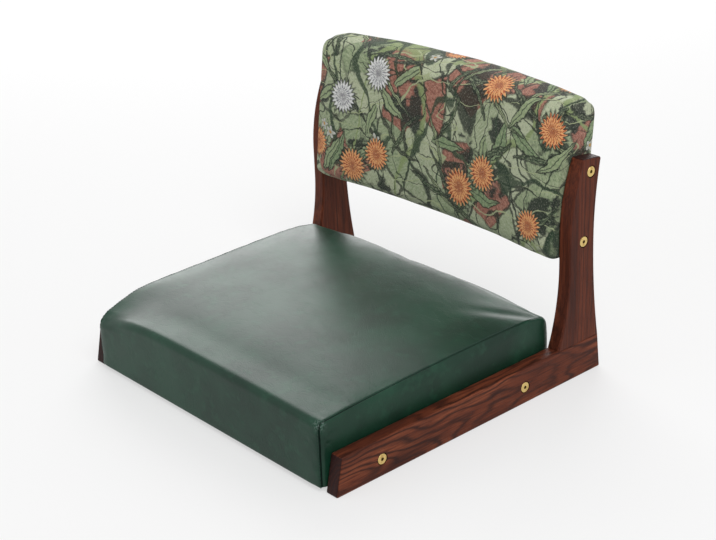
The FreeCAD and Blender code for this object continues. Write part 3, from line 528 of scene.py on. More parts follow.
@dataclass(frozen=True)
class Motifs:
    """Places of one kind of motif on the cloth: one to a cell of an uneven grid."""

    across: Value
    along: Value
    reach: Value
    first: Value
    second: Value
    third: Value

    @classmethod
    def scattered(cls, graph: Graph, cloth: bpy.types.NodeSocket, scale: float,
                  shift: tuple[float, float, float], randomness: float) -> "Motifs":
        """Spread motifs over the cloth.

        Args:
            graph: The material's graph.
            cloth: The place on the cloth, in metres.
            scale: Cells to the metre.
            shift: Where this layer starts, so that layers don't line up.
            randomness: From 0, a plain grid, to 1.

        Returns:
            The distances from the nearest motif's middle and its three random numbers.
        """
        moved = graph.vector("ADD", cloth, shift)
        cells = graph.node("TexVoronoi", {"voronoi_dimensions": "2D", "feature": "F1"},
                           {"Vector": moved, "Scale": scale, "Randomness": randomness})
        offset = graph.vector("SUBTRACT", moved, cells.outputs["Position"])
        across, along, _ = graph.parts(offset)
        chances = graph.parts(cells.outputs["Color"])
        return cls(across, along, graph.length(offset), *chances)

    def turned(self, angle: Value) -> tuple[Value, Value]:
        """The two distances in a frame turned by an angle."""
        sine, cosine = angle.sine(), angle.cosine()
        return (self.across * cosine + self.along * sine, self.along * cosine - self.across * sine)


@dataclass(frozen=True)
class Stems:
    """One layer of long curved stems."""

    scale: float
    flow: float  # under 1 they stand, over 1 they lie level
    shift: float
    width: float
    paint: Colour


@dataclass(frozen=True)
class Leaves:
    """One layer of curved blades."""

    scale: float
    shift: tuple[float, float, float]
    half: float  # of the blade's length
    width: float
    paint: Colour
    least: float  # the chance that a cell stays empty


@dataclass(frozen=True)
class Pompons:
    """One layer of round flowers of many petals."""

    scale: float
    shift: tuple[float, float, float]
    size: float
    least: float  # the chance that a cell stays empty


@dataclass(frozen=True)
class FloralCloth:
    """A woven cover with flowers, leaves and stems on a light green ground."""

    name: str = "floral_jacquard"
    cloth_map: str = "cloth"
    thread: float = 0.0011
    field_scale: float = 17.0
    greens: tuple[tuple[float, Colour], ...] = (
        (0.28, tint(112, 134, 96)), (0.41, tint(166, 180, 142)),
        (0.54, tint(206, 212, 180)), (0.70, tint(136, 158, 116)))
    stems: tuple[Stems, ...] = (
        Stems(9.0, 0.55, 3.1, 0.014, tint(32, 42, 34)),
        Stems(7.0, 0.55, 7.7, 0.011, tint(150, 168, 112)),
        Stems(12.0, 1.9, 5.9, 0.009, tint(34, 44, 34)),
        Stems(16.0, 0.40, 9.3, 0.008, tint(38, 52, 38)),
        Stems(9.0, 2.4, 2.2, 0.009, tint(186, 196, 150)),
        Stems(12.0, 0.55, 1.3, 0.016, tint(44, 66, 46)),
    )
    leaves: tuple[Leaves, ...] = (
        Leaves(9.0, (0.31, 0.77, 0.0), 0.054, 0.0036, tint(36, 48, 38), 0.15),
        Leaves(13.0, (1.93, 0.23, 0.0), 0.038, 0.0080, tint(120, 146, 104), 0.55),
        Leaves(10.0, (4.17, 2.61, 0.0), 0.050, 0.0030, tint(176, 190, 142), 0.25),
        Leaves(11.0, (7.71, 3.37, 0.0), 0.046, 0.0034, tint(58, 82, 56), 0.20),
        Leaves(14.0, (5.23, 9.41, 0.0), 0.035, 0.0070, tint(150, 168, 126), 0.62),
    )
    pompons: tuple[Pompons, ...] = (
        Pompons(9.5, (5.613, 8.291, 0.0), 0.0195, 0.45),
        Pompons(8.5, (3.871, 6.127, 0.0), 0.0215, 0.42),
    )
    petals: float = 21.0  # to a pompon

    def material(self) -> bpy.types.Material:
        """Build the woven cloth.

        Returns:
            Its material.
        """
        graph = Graph.of_material(self.name)
        cloth = graph.output("UVMap", {"uv_map": self.cloth_map})
        brush = graph.grain(cloth, 240.0, 3.0, 0.7)
        shaken = self._shaken(graph, cloth)
        colour = self._ground(graph, shaken, brush)
        colour = self._strokes(graph, shaken, colour, brush)
        colour = self._blades(graph, shaken, colour, brush)
        colour = self._blossoms(graph, shaken, colour)
        colour = self._flowers(graph, cloth, colour, brush)
        colour, weave = self._weave(graph, cloth, colour)
        return graph.surface(Base_Color=colour, Roughness=0.82 + weave * 0.1,
                             Normal=graph.bump(weave + brush * 0.5, 0.00035, 0.8),
                             Specular_IOR_Level=0.25, Sheen_Weight=0.12, Sheen_Roughness=0.5)

    @staticmethod
    def _shaken(graph: Graph, cloth: bpy.types.NodeSocket) -> bpy.types.NodeSocket:
        """Make the place on the cloth uneven, as a brush would draw it.

        Args:
            graph: The material's graph.
            cloth: The place on the cloth, in metres.

        Returns:
            The shaken place.
        """
        wander = graph.output("TexNoise", {}, {"Vector": cloth, "Scale": 26.0, "Detail": 3.0,
                                               "Roughness": 0.6}, 1)
        centred = graph.vector("SUBTRACT", wander, (0.5, 0.5, 0.5))
        return graph.vector("ADD", cloth, graph.vector("MULTIPLY", centred, (0.020, 0.020, 0.0)))

    def _ground(self, graph: Graph, cloth: bpy.types.NodeSocket,
                brush: Value) -> bpy.types.NodeSocket:
        """Light and mid green fields and a few rust ones, with dark veins between them.

        Args:
            graph: The material's graph.
            cloth: The place on the cloth, shaken.
            brush: Fine noise that roughens every edge.

        Returns:
            The colour of the ground.
        """
        spread = {"Vector": cloth, "Scale": self.field_scale, "Randomness": 1.0}
        fields = graph.node("TexVoronoi", {"voronoi_dimensions": "2D"}, spread)
        kind, shade, _ = graph.parts(fields.outputs["Color"])
        edge = graph.value("TexVoronoi", {"voronoi_dimensions": "2D", "feature": "DISTANCE_TO_EDGE"},
                           spread)
        broad = graph.grain(cloth, 9.0, 2.0)
        across, along, _ = graph.parts(cloth)
        turn = kind * math.tau
        sine, cosine = turn.sine(), turn.cosine()
        streaks = graph.grain(graph.joined((across * cosine + along * sine) * 0.14,
                                           along * cosine - across * sine, 0.0), 420.0, 3.0, 0.65)
        tone = brush * 0.25 + streaks * 0.35 + shade * 0.25 + broad * 0.15
        greens = graph.output("ValToRGB", {"stops": self.greens}, {0: tone})
        rusts = graph.mixed((brush * 0.5 + streaks * 0.5).ease(0.40, 0.60), tint(146, 88, 74),
                            tint(194, 138, 118))
        filled = graph.mixed(kind.above(0.70) * brush.ease(0.22, 0.38), greens, rusts)
        dark = graph.grain(cloth, 12.0, 3.0, 0.6) + (brush - 0.5) * 0.10
        dusk = graph.mixed(dark.ease(0.560, 0.590) * 0.94, filled, tint(30, 40, 35))
        veins = (edge + (brush - 0.5) * 0.07).ease(0.048, 0.020)
        return graph.mixed(veins * broad.ease(0.38, 0.56) * 0.85, dusk, tint(36, 44, 36))

    def _strokes(self, graph: Graph, cloth: bpy.types.NodeSocket, colour: bpy.types.NodeSocket,
                 brush: Value) -> bpy.types.NodeSocket:
        """Paint the stems: the level lines of slow noise, drawn thick and thin.

        Args:
            graph: The material's graph.
            cloth: The place on the cloth, shaken.
            colour: The pattern painted so far.
            brush: Fine noise that roughens every edge.

        Returns:
            The colour with this layer on it.
        """
        for layer in self.stems:
            moved = graph.stretched(cloth, (1.0, layer.flow, 1.0), (layer.shift, -layer.shift, 0.0))
            level = (graph.grain(moved, layer.scale, 1.0, 0.4) - 0.5).size()
            thick = graph.grain(moved, layer.scale * 1.7, 1.0) * layer.width * 2
            line = (level + (brush - 0.5) * 0.01).ease(thick, thick * 0.45)
            colour = graph.mixed(line * 0.9, colour, layer.paint)
        return colour

    def _blades(self, graph: Graph, cloth: bpy.types.NodeSocket, colour: bpy.types.NodeSocket,
                brush: Value) -> bpy.types.NodeSocket:
        """Paint the leaves, each with a mid vein and a dark edge.

        Args:
            graph: The material's graph.
            cloth: The place on the cloth, shaken.
            colour: The pattern painted so far.
            brush: Fine noise that roughens every edge.

        Returns:
            The colour with this layer on it.
        """
        for layer in self.leaves:
            spots = Motifs.scattered(graph, cloth, layer.scale, layer.shift, 0.75)
            forward, sideways = spots.turned((spots.first - 0.5) * 2.6)
            bend = sideways - forward * forward * (spots.second - 0.5) * 14.0
            share = forward / layer.half
            room = (1.0 - share * share) * layer.width - bend.size() + (brush - 0.5) * 0.0035
            chosen = spots.third.above(layer.least)
            rim = room.ease(-0.0014, 0.0) * chosen
            fill = room.ease(0.0006, 0.0016) * chosen
            vein = bend.size().ease(0.0011, 0.0004) * fill
            shaded = graph.mixed(brush.ease(0.35, 0.7) * 0.5, layer.paint, tint(196, 206, 164))
            colour = graph.mixed(rim * 0.9, colour, tint(30, 40, 32))
            colour = graph.mixed(fill, colour, shaded)
            colour = graph.mixed(vein * 0.8, colour, tint(36, 50, 38))
        return colour

    @staticmethod
    def _blossoms(graph: Graph, cloth: bpy.types.NodeSocket,
                  colour: bpy.types.NodeSocket) -> bpy.types.NodeSocket:
        """Paint small white five-petalled flowers with a yellow eye.

        Args:
            graph: The material's graph.
            cloth: The place on the cloth, shaken.
            colour: The pattern painted so far.

        Returns:
            The colour with this layer on it.
        """
        spots = Motifs.scattered(graph, cloth, 15.0, (2.37, 5.11, 0.0), 0.85)
        petals = (spots.along.angle(spots.across) * 5.0 + spots.first * math.tau).cosine()
        edge = petals * 0.0020 + 0.0072
        chosen = spots.second.above(0.78)
        shade = graph.mixed(spots.reach.ease(0.002, 0.010), tint(190, 192, 178), tint(232, 232, 224))
        colour = graph.mixed((spots.reach - edge).ease(0.0016, 0.0004) * chosen * 0.8, colour,
                             tint(34, 42, 36))
        colour = graph.mixed((spots.reach - edge).ease(0.0005, -0.0008) * chosen, colour, shade)
        return graph.mixed(spots.reach.ease(0.0030, 0.0022) * chosen, colour, tint(206, 160, 84))

    def _flowers(self, graph: Graph, cloth: bpy.types.NodeSocket, colour: bpy.types.NodeSocket,
                 brush: Value) -> bpy.types.NodeSocket:
        """Paint the round flowers of many narrow petals, orange or white.

        Args:
            graph: The material's graph.
            cloth: The place on the cloth, in metres.
            colour: The pattern painted so far.
            brush: Fine noise that roughens every edge.

        Returns:
            The colour with this layer on it.
        """
        for layer in self.pompons:
            spots = Motifs.scattered(graph, cloth, layer.scale, layer.shift, 0.62)
            chosen = spots.first.above(layer.least)
            radius = layer.size + spots.second * 0.0045
            around = spots.along.angle(spots.across) * self.petals
            fringe = (around + spots.third * 6.0).cosine() * 0.13 + 0.87
            share = spots.reach / (radius * fringe) + (brush - 0.5) * 0.42
            shadow = share.ease(1.38, 1.04) * chosen
            body = share.ease(1.03, 0.96) * chosen
            rows = ((share * 11.0).sine() * 1.3 + around + (brush - 0.5) * 9.0).sine()
            petals = rows * 0.5 + 0.5
            white = spots.third.above(0.80)
            light = graph.mixed(white, tint(248, 186, 124), tint(244, 244, 242))
            mid = graph.mixed(white, tint(234, 116, 58), tint(206, 210, 212))
            dark = graph.mixed(white, tint(150, 50, 34), tint(116, 112, 120))
            blended = graph.mixed(petals.ease(0.25, 0.60), mid, light)
            deep = graph.mixed((1.0 - petals).ease(0.72, 0.95) * 0.85, blended, dark)
            centre = graph.mixed(share.ease(0.52, 0.08) * 0.6, deep, dark)
            tips = graph.mixed(share.ease(0.62, 0.92) * petals * 0.8, centre, light)
            specks = graph.mixed(brush.ease(0.55, 0.64) * 0.85, tips, light)
            colour = graph.mixed(shadow * 0.85, colour, tint(34, 44, 36))
            colour = graph.mixed(body, colour, specks)
        return colour

    def _weave(self, graph: Graph, cloth: bpy.types.NodeSocket,
               colour: bpy.types.NodeSocket) -> tuple[bpy.types.NodeSocket, Value]:
        """Painted light on the raised floats and painted shade on the low floats and between the ribs,
        over the pattern.

        Args:
            graph: The material's graph.
            cloth: The place on the cloth, in metres.
            colour: The pattern's colour.

        Returns:
            The colour with its painted light and shade, and the threads' height.
        """
        across, along, _ = graph.parts(cloth)
        turn = math.tau / self.thread
        rib = (across * turn).sine() * (along * turn).sine() * 0.5 + 0.5
        floats = graph.grain(graph.stretched(cloth, (1.0, 0.42, 1.0)), 900.0, 2.0, 0.7)
        # Painted highlight on the raised floats and painted shade on the low ones, following the bump's
        # height.
        lit = graph.mixed(floats.ease(0.56, 0.66) * 0.32, colour, tint(214, 216, 192))
        shaded = graph.mixed(floats.ease(0.44, 0.34) * 0.45, lit, tint(24, 32, 26))
        # Painted shade between the ribs of the weave.
        return graph.mixed((1.0 - rib) * 0.18, shaded, tint(30, 36, 30)), rib + floats * 0.8


@dataclass(frozen=True)
class PlainCloth:
    """A thin dull cloth, a foam or a thread: one colour with specks and a fine weave."""

    name: str
    colour: Colour
    speck: Colour
    scale: float
    roughness: float = 0.9

    def material(self) -> bpy.types.Material:
        """Build the plain cloth.

        Returns:
            Its material.
        """
        graph = Graph.of_material(self.name)
        place = graph.place()
        web = graph.grain(graph.stretched(place, (1.0, 0.5, 1.0)), self.scale, 3.0, 0.7)
        holes = graph.value("TexVoronoi", {"feature": "DISTANCE_TO_EDGE"},
                            {"Vector": place, "Scale": self.scale * 0.8})
        colour = graph.mixed(web.ease(0.45, 0.68), self.colour, self.speck)
        return graph.surface(Base_Color=colour, Roughness=self.roughness + web * 0.05,
                             Normal=graph.bump(web + holes.ease(0.0, 0.2), 0.0003, 0.6))


# Meshes


def add_object(name: str, data: bpy.types.ID) -> bpy.types.Object:
    """Put a mesh, a lamp or a camera in the scene.

    Args:
        name: The object's name.
        data: What it shows.

    Returns:
        The new object.
    """
    made = bpy.data.objects.new(name, data)
    bpy.context.scene.collection.objects.link(made)
    return made


def add_mesh(name: str, points: Iterable[Sequence[float]], faces: Sequence[tuple[int, ...]],
             edges: Sequence[tuple[int, int]] = ()) -> bpy.types.Object:
    """Put a new mesh in the scene.

    Args:
        name: The piece's name.
        points: Its vertices.
        faces: Its faces, by the vertices' numbers.
        edges: Its edges, where it has no faces.

    Returns:
        The new object.
    """
    data = bpy.data.meshes.new(name)
    data.from_pydata([tuple(point) for point in points], edges, faces)
    data.update()
    return add_object(name, data)


# Soft blocks: a grid on the six faces of a block, which is then rounded, crowned and inflated


@dataclass(frozen=True)
class Ruler:
    """Grid lines along one axis of a soft block, closer together where it is rounded."""

    low: float
    high: float
    low_round: float
    high_round: float
    pitch: float
    marks: tuple[float, ...] = ()
    dense: float = 0.6  # pitch over the rounded parts, as a share of the pitch

    def lines(self) -> np.ndarray:
        """Lay out the grid lines.

        Returns:
            Where they stand along the axis.
        """
        flat_from, flat_to = self.low + self.low_round, self.high - self.high_round
        stops = sorted({self.low, self.low + SEAM_ROOM, flat_from, flat_to, self.high - SEAM_ROOM,
                        self.high, *self.marks})
        stops = [stop for index, stop in enumerate(stops)
                 if index == 0 or stop - stops[index - 1] > NEAR]
        lines = [stops[0]]
        for start, end in zip(stops, stops[1:]):
            rounded = end <= flat_from + NEAR or start >= flat_to - NEAR
            pitch = self.pitch * (self.dense if rounded else 1.0)
            steps = max(1, math.ceil((end - start) / pitch - NEAR))
            lines.extend(np.linspace(start, end, steps + 1)[1:])
        return np.array(lines)

    def unrolled(self, lines: np.ndarray) -> np.ndarray:
        """Measure along the finished surface, where a rounded part is a quarter circle.

        Args:
            lines: Where the grid lines stand.

        Returns:
            The length up to each line.
        """
        middles = (lines[1:] + lines[:-1]) / 2
        rounded = (middles < self.low + self.low_round) | (middles > self.high - self.high_round)
        steps = np.diff(lines) * np.where(rounded, math.pi / 4, 1.0)
        return np.concatenate([[0.0], np.cumsum(steps)])


def seam_lines(*places: float) -> tuple[float, ...]:
    """Grid lines at each seam and close to it on both sides."""
    return tuple(place + step for place in places for step in (-SEAM_ROOM, 0.0, SEAM_ROOM))


class Block:
    """The surface grid of a block between three rulers."""

    def __init__(self, rulers: tuple[Ruler, Ruler, Ruler]) -> None:
        """Number the grid's points and list its faces, all pointing outwards.

        Args:
            rulers: Across, deep and tall.
        """
        self.rulers = rulers
        self.lines = [ruler.lines() for ruler in rulers]
        self.last = [len(lines) - 1 for lines in self.lines]
        self.index: dict[tuple[int, int, int], int] = {}
        self.faces: list[tuple[int, ...]] = []
        self.sides: list[tuple[int, bool]] = []
        for axis in (X, Y, Z):
            for high in (False, True):
                self._add_side(axis, high)
        self.cells = np.array(list(self.index))
        self.grid = np.stack([self.lines[axis][self.cells[:, axis]] for axis in (X, Y, Z)], axis=1)

    def _add_side(self, axis: int, high: bool) -> None:
        """Add the faces of one side of the block.

        Args:
            axis: The axis across the side.
            high: Whether it is the side at the axis's high end.
        """
        second, third = (axis + 1) % 3, (axis + 2) % 3
        for b in range(self.last[second]):
            for c in range(self.last[third]):
                corners = [(b, c), (b + 1, c), (b + 1, c + 1), (b, c + 1)]
                if not high:
                    corners.reverse()
                face = []
                for across, along in corners:
                    cell = [0, 0, 0]
                    cell[axis] = self.last[axis] if high else 0
                    cell[second], cell[third] = across, along
                    face.append(self.index.setdefault(tuple(cell), len(self.index)))
                self.faces.append(tuple(face))
                self.sides.append((axis, high))

    def mesh(self, name: str, points: np.ndarray) -> bpy.types.Object:
        """A closed mesh of the block's faces over moved points."""
        return add_mesh(name, points, self.faces)

    def near_line(self, axis: int, value: float) -> int:
        """The number of the grid line nearest to a value."""
        return int(np.argmin(np.abs(self.lines[axis] - value)))


def roll_edge(points: np.ndarray, axes: tuple[int, int], corner: tuple[float, float],
              outward: tuple[int, int], radius: float) -> None:
    """Round one long edge of a block, in place.

    Args:
        points: The block's points.
        axes: The two axes across the edge.
        corner: The edge's place on them.
        outward: Which way is outwards along each, -1 or 1.
        radius: How far the rounding reaches along each.
    """
    reach = [(points[:, axis] - (corner[n] - outward[n] * radius)) * outward[n] / radius
             for n, axis in enumerate(axes)]
    inside = (reach[0] > 0) & (reach[1] > 0)
    spread = np.hypot(reach[0], reach[1])
    pull = np.where(inside, np.maximum(reach[0], reach[1]) / np.where(inside, spread, 1.0), 1.0)
    for n, axis in enumerate(axes):
        moved = corner[n] - outward[n] * radius * (1 - reach[n] * pull)
        points[:, axis] = np.where(inside, moved, points[:, axis])


def roll_ends(points: np.ndarray, axis: int, half: float,
              edges: Sequence[tuple[float, int, float]]) -> None:
    """Round the corners at the left and right end of a block or a sheet, in place.

    Args:
        points: Its points.
        axis: The other axis across the corners.
        half: Half its width.
        edges: For each pair of corners its place on that axis, its outward sign and its radius.
    """
    for side in (-1, 1):
        for edge, outward, radius in edges:
            roll_edge(points, (X, axis), (side * half, edge), (side, outward), radius)


@dataclass(frozen=True)
class Profile:
    """A rectangle with rounded corners, across two axes of a block."""

    axes: tuple[int, int]
    low: tuple[float, float]
    high: tuple[float, float]
    radii: dict[tuple[int, int], float]  # by the corner's outward signs

    def roll(self, points: np.ndarray) -> None:
        """Round the block's four edges to this profile, in place.

        Args:
            points: The block's points.
        """
        for signs, radius in self.radii.items():
            corner = tuple(self.high[n] if signs[n] > 0 else self.low[n] for n in (0, 1))
            roll_edge(points, self.axes, corner, signs, radius)

    def depth(self, points: np.ndarray) -> tuple[np.ndarray, np.ndarray]:
        """How deep points lie inside the profile, and which way is out of it.

        Args:
            points: The block's points, rolled.

        Returns:
            The depths, and unit vectors across the profile's two axes.
        """
        flat = points[:, list(self.axes)]
        gaps = np.stack([flat[:, 0] - self.low[0], self.high[0] - flat[:, 0],
                         flat[:, 1] - self.low[1], self.high[1] - flat[:, 1]], axis=1)
        ways = np.array([(-1.0, 0.0), (1.0, 0.0), (0.0, -1.0), (0.0, 1.0)])
        nearest = gaps.argmin(axis=1)
        depths = gaps.min(axis=1)
        normals = ways[nearest]
        for signs, radius in self.radii.items():
            corner = np.array([self.high[n] if signs[n] > 0 else self.low[n] for n in (0, 1)])
            centre = corner - np.array(signs) * radius
            arm = flat - centre
            inside = (arm * np.array(signs) > 0).all(axis=1)
            length = np.maximum(np.linalg.norm(arm, axis=1), NEAR)
            depths = np.where(inside, radius - length, depths)
            normals = np.where(inside[:, None], arm / length[:, None], normals)
        return depths, normals

    def ease_ends(self, points: np.ndarray, axis: int, half: float, size: float) -> None:
        """Round the edges between this profile and the block's two ends, in place.

        Args:
            points: The block's points, rolled.
            axis: The axis that runs from end to end.
            half: Half the block's length.
            size: Radius of the rounding.
        """
        depths, normals = self.depth(points)
        reach = (np.abs(points[:, axis]) - (half - size)) / size
        shallow = (size - depths) / size
        inside = (reach > 0) & (shallow > 0)
        spread = np.where(inside, np.hypot(reach, shallow), 1.0)
        pull = np.where(inside, np.maximum(reach, shallow) / spread, 1.0)
        ends = np.sign(points[:, axis]) * (half - size + size * reach * pull)
        points[:, axis] = np.where(inside, ends, points[:, axis])
        inward = np.where(inside, size * shallow * (1 - pull), 0.0)
        points[:, list(self.axes)] -= normals * inward[:, None]


@dataclass(frozen=True)
class Filling:
    """How a soft cover is inflated."""

    pressure: float
    frames: int
    cap: float  # how far a point may move
    stiffness: float = 12.0
    bending: float = 0.8
    mass: float = 0.3
    quality: int = 6

    def inflate(self, obj: bpy.types.Object, held: np.ndarray) -> np.ndarray:
        """Blow a cover up with Blender's cloth and take the modifier off again.

        Args:
            obj: The closed cover.
            held: For each vertex, from 0, free, to 1, pinned.

        Returns:
            The moved points.
        """
        start = get_points(obj)
        group = obj.vertex_groups.new(name="held")
        for index in np.nonzero(held > 0)[0]:
            group.add([int(index)], float(held[index]), "REPLACE")
        cloth = obj.modifiers.new("filling", "CLOTH")
        settings = cloth.settings
        settings.quality = self.quality
        settings.mass = self.mass
        settings.tension_stiffness = settings.compression_stiffness = self.stiffness
        settings.shear_stiffness = self.stiffness / 2
        settings.bending_stiffness = self.bending
        settings.use_pressure = True
        settings.uniform_pressure_force = self.pressure
        settings.effector_weights.gravity = 0.0
        settings.vertex_group_mass = group.name
        scene = bpy.context.scene
        for step in range(1, self.frames + 1):
            scene.frame_set(step)
        moved = get_points(obj.evaluated_get(bpy.context.evaluated_depsgraph_get()))
        obj.modifiers.remove(cloth)
        obj.vertex_groups.clear()
        scene.frame_set(1)
        drift = moved - start
        far = np.maximum(np.linalg.norm(drift, axis=1), NEAR)
        return start + drift * (self.cap * np.tanh(far / self.cap) / far)[:, None]


def set_points(obj: bpy.types.Object, points: np.ndarray) -> None:
    """Move an object's vertices to the given points."""
    obj.data.vertices.foreach_set("co", points.ravel())
    obj.data.update()


def get_points(obj: bpy.types.Object) -> np.ndarray:
    """An object's vertices as an array.

    Args:
        obj: A mesh object.

    Returns:
        One row to a vertex.
    """
    points = np.empty(len(obj.data.vertices) * 3)
    obj.data.vertices.foreach_get("co", points)
    return points.reshape(-1, 3)


def get_normals(obj: bpy.types.Object) -> np.ndarray:
    """An object's vertex normals as an array.

    Args:
        obj: A mesh object.

    Returns:
        One row to a vertex.
    """
    normals = np.empty(len(obj.data.vertices) * 3)
    obj.data.vertex_normals.foreach_get("vector", normals)
    return normals.reshape(-1, 3)


def mark_points(obj: bpy.types.Object, name: str, amounts: np.ndarray) -> None:
    """Store a number with every vertex."""
    layer = obj.data.attributes.new(name, "FLOAT", "POINT")
    layer.data.foreach_set("value", amounts.astype(np.float32))


def read_marks(obj: bpy.types.Object, name: str) -> np.ndarray:
    """Read a number stored with every vertex.

    Args:
        obj: A mesh object.
        name: The name it was stored under.

    Returns:
        One number to a vertex.
    """
    amounts = np.empty(len(obj.data.vertices), dtype=np.float32)
    obj.data.attributes[name].data.foreach_get("value", amounts)
    return amounts


def baked(obj: bpy.types.Object) -> None:
    """Apply every modifier of an object to its mesh.

    Args:
        obj: A mesh object.
    """
    evaluated = obj.evaluated_get(bpy.context.evaluated_depsgraph_get())
    finished = bpy.data.meshes.new_from_object(evaluated)
    finished.name = obj.name
    obj.modifiers.clear()
    obj.data = finished


def refine(obj: bpy.types.Object) -> None:
    """Subdivide an object's faces once, smoothly, and keep the result.

    Args:
        obj: A mesh object.
    """
    finer = obj.modifiers.new("finer", "SUBSURF")
    finer.levels = finer.render_levels = 1
    baked(obj)
    obj.data.shade_smooth()


def sink_seams(obj: bpy.types.Object, groove: float) -> None:
    """Press the marked seams into a cover.

    Args:
        obj: The cover, refined, with its seams marked.
        groove: The depth of a seam that is fully open.
    """
    depth = read_marks(obj, "seam").astype(float)
    normals = get_normals(obj)
    set_points(obj, get_points(obj) - normals * (groove * depth ** SEAM_SHARPNESS)[:, None])


def ripple(points: np.ndarray, scale: float, seed: float) -> np.ndarray:
    """Slow noise from -1 to 1 at each point, scale to the metre."""
    return np.array([noise.noise(Vector(point) * scale + Vector((seed, seed, seed)))
                     for point in points])


def smooth_step(amounts: np.ndarray, start: float, end: float) -> np.ndarray:
    """A smooth step from 0 at start to 1 at end."""
    share = np.clip((amounts - start) / (end - start), 0.0, 1.0)
    return share * share * (3 - 2 * share)


def joined_box(*nodes: str) -> tuple[Vector, Vector]:
    """The box round several CAD nodes.

    Args:
        nodes: Their names.

    Returns:
        Its lowest and its highest corner.
    """
    boxes = [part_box(node) for node in nodes]
    low = Vector([min(box[0][axis] for box in boxes) for axis in (X, Y, Z)])
    high = Vector([max(box[1][axis] for box in boxes) for axis in (X, Y, Z)])
    return low, high


def log_fit(obj: bpy.types.Object, *nodes: str) -> None:
    """Report how far a piece stands out of the box of the CAD nodes that it replaces.

    Args:
        obj: The piece.
        nodes: The CAD nodes' names.
    """
    low, high = joined_box(*nodes)
    points = get_points(obj)
    LOG.info("%s: %d faces, beyond its CAD box by %s and %s mm", obj.name, len(obj.data.polygons),
             np.round((np.array(low) - points.min(axis=0)) * 1000, 1),
             np.round((points.max(axis=0) - np.array(high)) * 1000, 1))


def dress(obj: bpy.types.Object, material: bpy.types.Material) -> None:
    """Give an object one material."""
    obj.data.materials.clear()
    obj.data.materials.append(material)


# Stitches


@dataclass(frozen=True)
class Stitching:
    """A row of stitches along a path, made by Geometry Nodes."""

    pitch: float = 0.0042
    length: float = 0.0030
    radius: float = 0.00035
    sides: int = 6
    tilt: float = 0.05
    seed: int = 4
    lift: float = 0.4  # of the thread's radius, off the cover

    def raised(self, points: np.ndarray, normals: np.ndarray) -> np.ndarray:
        """Where the thread's middle runs over points of the cover."""
        return points + normals * self.radius * self.lift

    def sew(self, name: str, paths: Sequence[np.ndarray],
            thread: bpy.types.Material) -> bpy.types.Object:
        """Lay stitches along paths.

        Args:
            name: The piece's name.
            paths: Runs of points on the surface.
            thread: The thread's material.

        Returns:
            One plain mesh with every stitch.
        """
        edges, start = [], 0
        for path in paths:
            edges += [(start + n, start + n + 1) for n in range(len(path) - 1)]
            start += len(path)
        row = add_mesh(name, np.concatenate(paths), [], edges)
        tree = self._tree(name)
        sewn = row.modifiers.new("stitches", "NODES")
        sewn.node_group = tree
        given = {"Pitch": self.pitch, "Length": self.length, "Radius": self.radius,
                 "Sides": self.sides, "Tilt": self.tilt, "Seed": self.seed, "Thread": thread}
        for item in tree.interface.items_tree:
            if item.item_type == "SOCKET" and item.in_out == "INPUT" and item.name in given:
                sewn[item.identifier] = given[item.name]
        baked(row)
        return row

    @staticmethod
    def _tree(name: str) -> bpy.types.GeometryNodeTree:
        """Build the tree that puts a small bar at each step along a path.

        Args:
            name: The piece's name.

        Returns:
            The node tree.
        """
        tree = bpy.data.node_groups.new(name + "_tree", "GeometryNodeTree")
        inputs = {"Geometry": "Geometry", "Pitch": "Float", "Length": "Float", "Radius": "Float",
                  "Tilt": "Float", "Sides": "Int", "Seed": "Int", "Thread": "Material"}
        for label, kind in inputs.items():
            tree.interface.new_socket(label, in_out="INPUT", socket_type="NodeSocket" + kind)
        tree.interface.new_socket("Geometry", in_out="OUTPUT", socket_type="NodeSocketGeometry")

        def add(kind: str, settings: dict[str, str] | None = None, **links: object) -> bpy.types.Node:
            """Add a node, set its properties and fill its sockets by name.

            Args:
                kind: The node's type.
                settings: Its properties.
                links: Values or links, with an underscore for a space.

            Returns:
                The new node.
            """
            made = tree.nodes.new(kind)
            for label, setting in (settings or {}).items():
                setattr(made, label, setting)
            for label, content in links.items():
                socket = made.inputs[label.replace("_", " ")]
                if isinstance(content, bpy.types.NodeSocket):
                    tree.links.new(content, socket)
                else:
                    socket.default_value = content
            return made

        given = add("NodeGroupInput").outputs
        curve = add("GeometryNodeMeshToCurve", Mesh=given["Geometry"])
        steps = add("GeometryNodeResampleCurve", {"mode": "LENGTH"}, Curve=curve.outputs[0],
                    Length=given["Pitch"])
        bar = add("GeometryNodeMeshCylinder", Vertices=given["Sides"], Side_Segments=3,
                  Radius=given["Radius"], Depth=given["Length"])
        tangent = add("GeometryNodeInputTangent")
        turned = add("FunctionNodeAlignRotationToVector", {"axis": "Z"}, Vector=tangent.outputs[0])
        most = add("ShaderNodeCombineXYZ", X=given["Tilt"], Y=given["Tilt"], Z=given["Tilt"])
        least = add("ShaderNodeVectorMath", {"operation": "SCALE"}, Vector=most.outputs[0], Scale=-1.0)
        chance = add("FunctionNodeRandomValue", {"data_type": "FLOAT_VECTOR"},
                     Min=least.outputs[0], Max=most.outputs[0], Seed=given["Seed"])
        placed = add("GeometryNodeInstanceOnPoints", Points=steps.outputs[0],
                     Instance=bar.outputs["Mesh"], Rotation=turned.outputs[0])
        wobbled = add("GeometryNodeRotateInstances", Instances=placed.outputs[0],
                      Rotation=chance.outputs["Value"])
        real = add("GeometryNodeRealizeInstances", Geometry=wobbled.outputs[0])
        dressed = add("GeometryNodeSetMaterial", Geometry=real.outputs[0], Material=given["Thread"])
        add("NodeGroupOutput", Geometry=dressed.outputs[0])
        return tree


# The chair's pieces


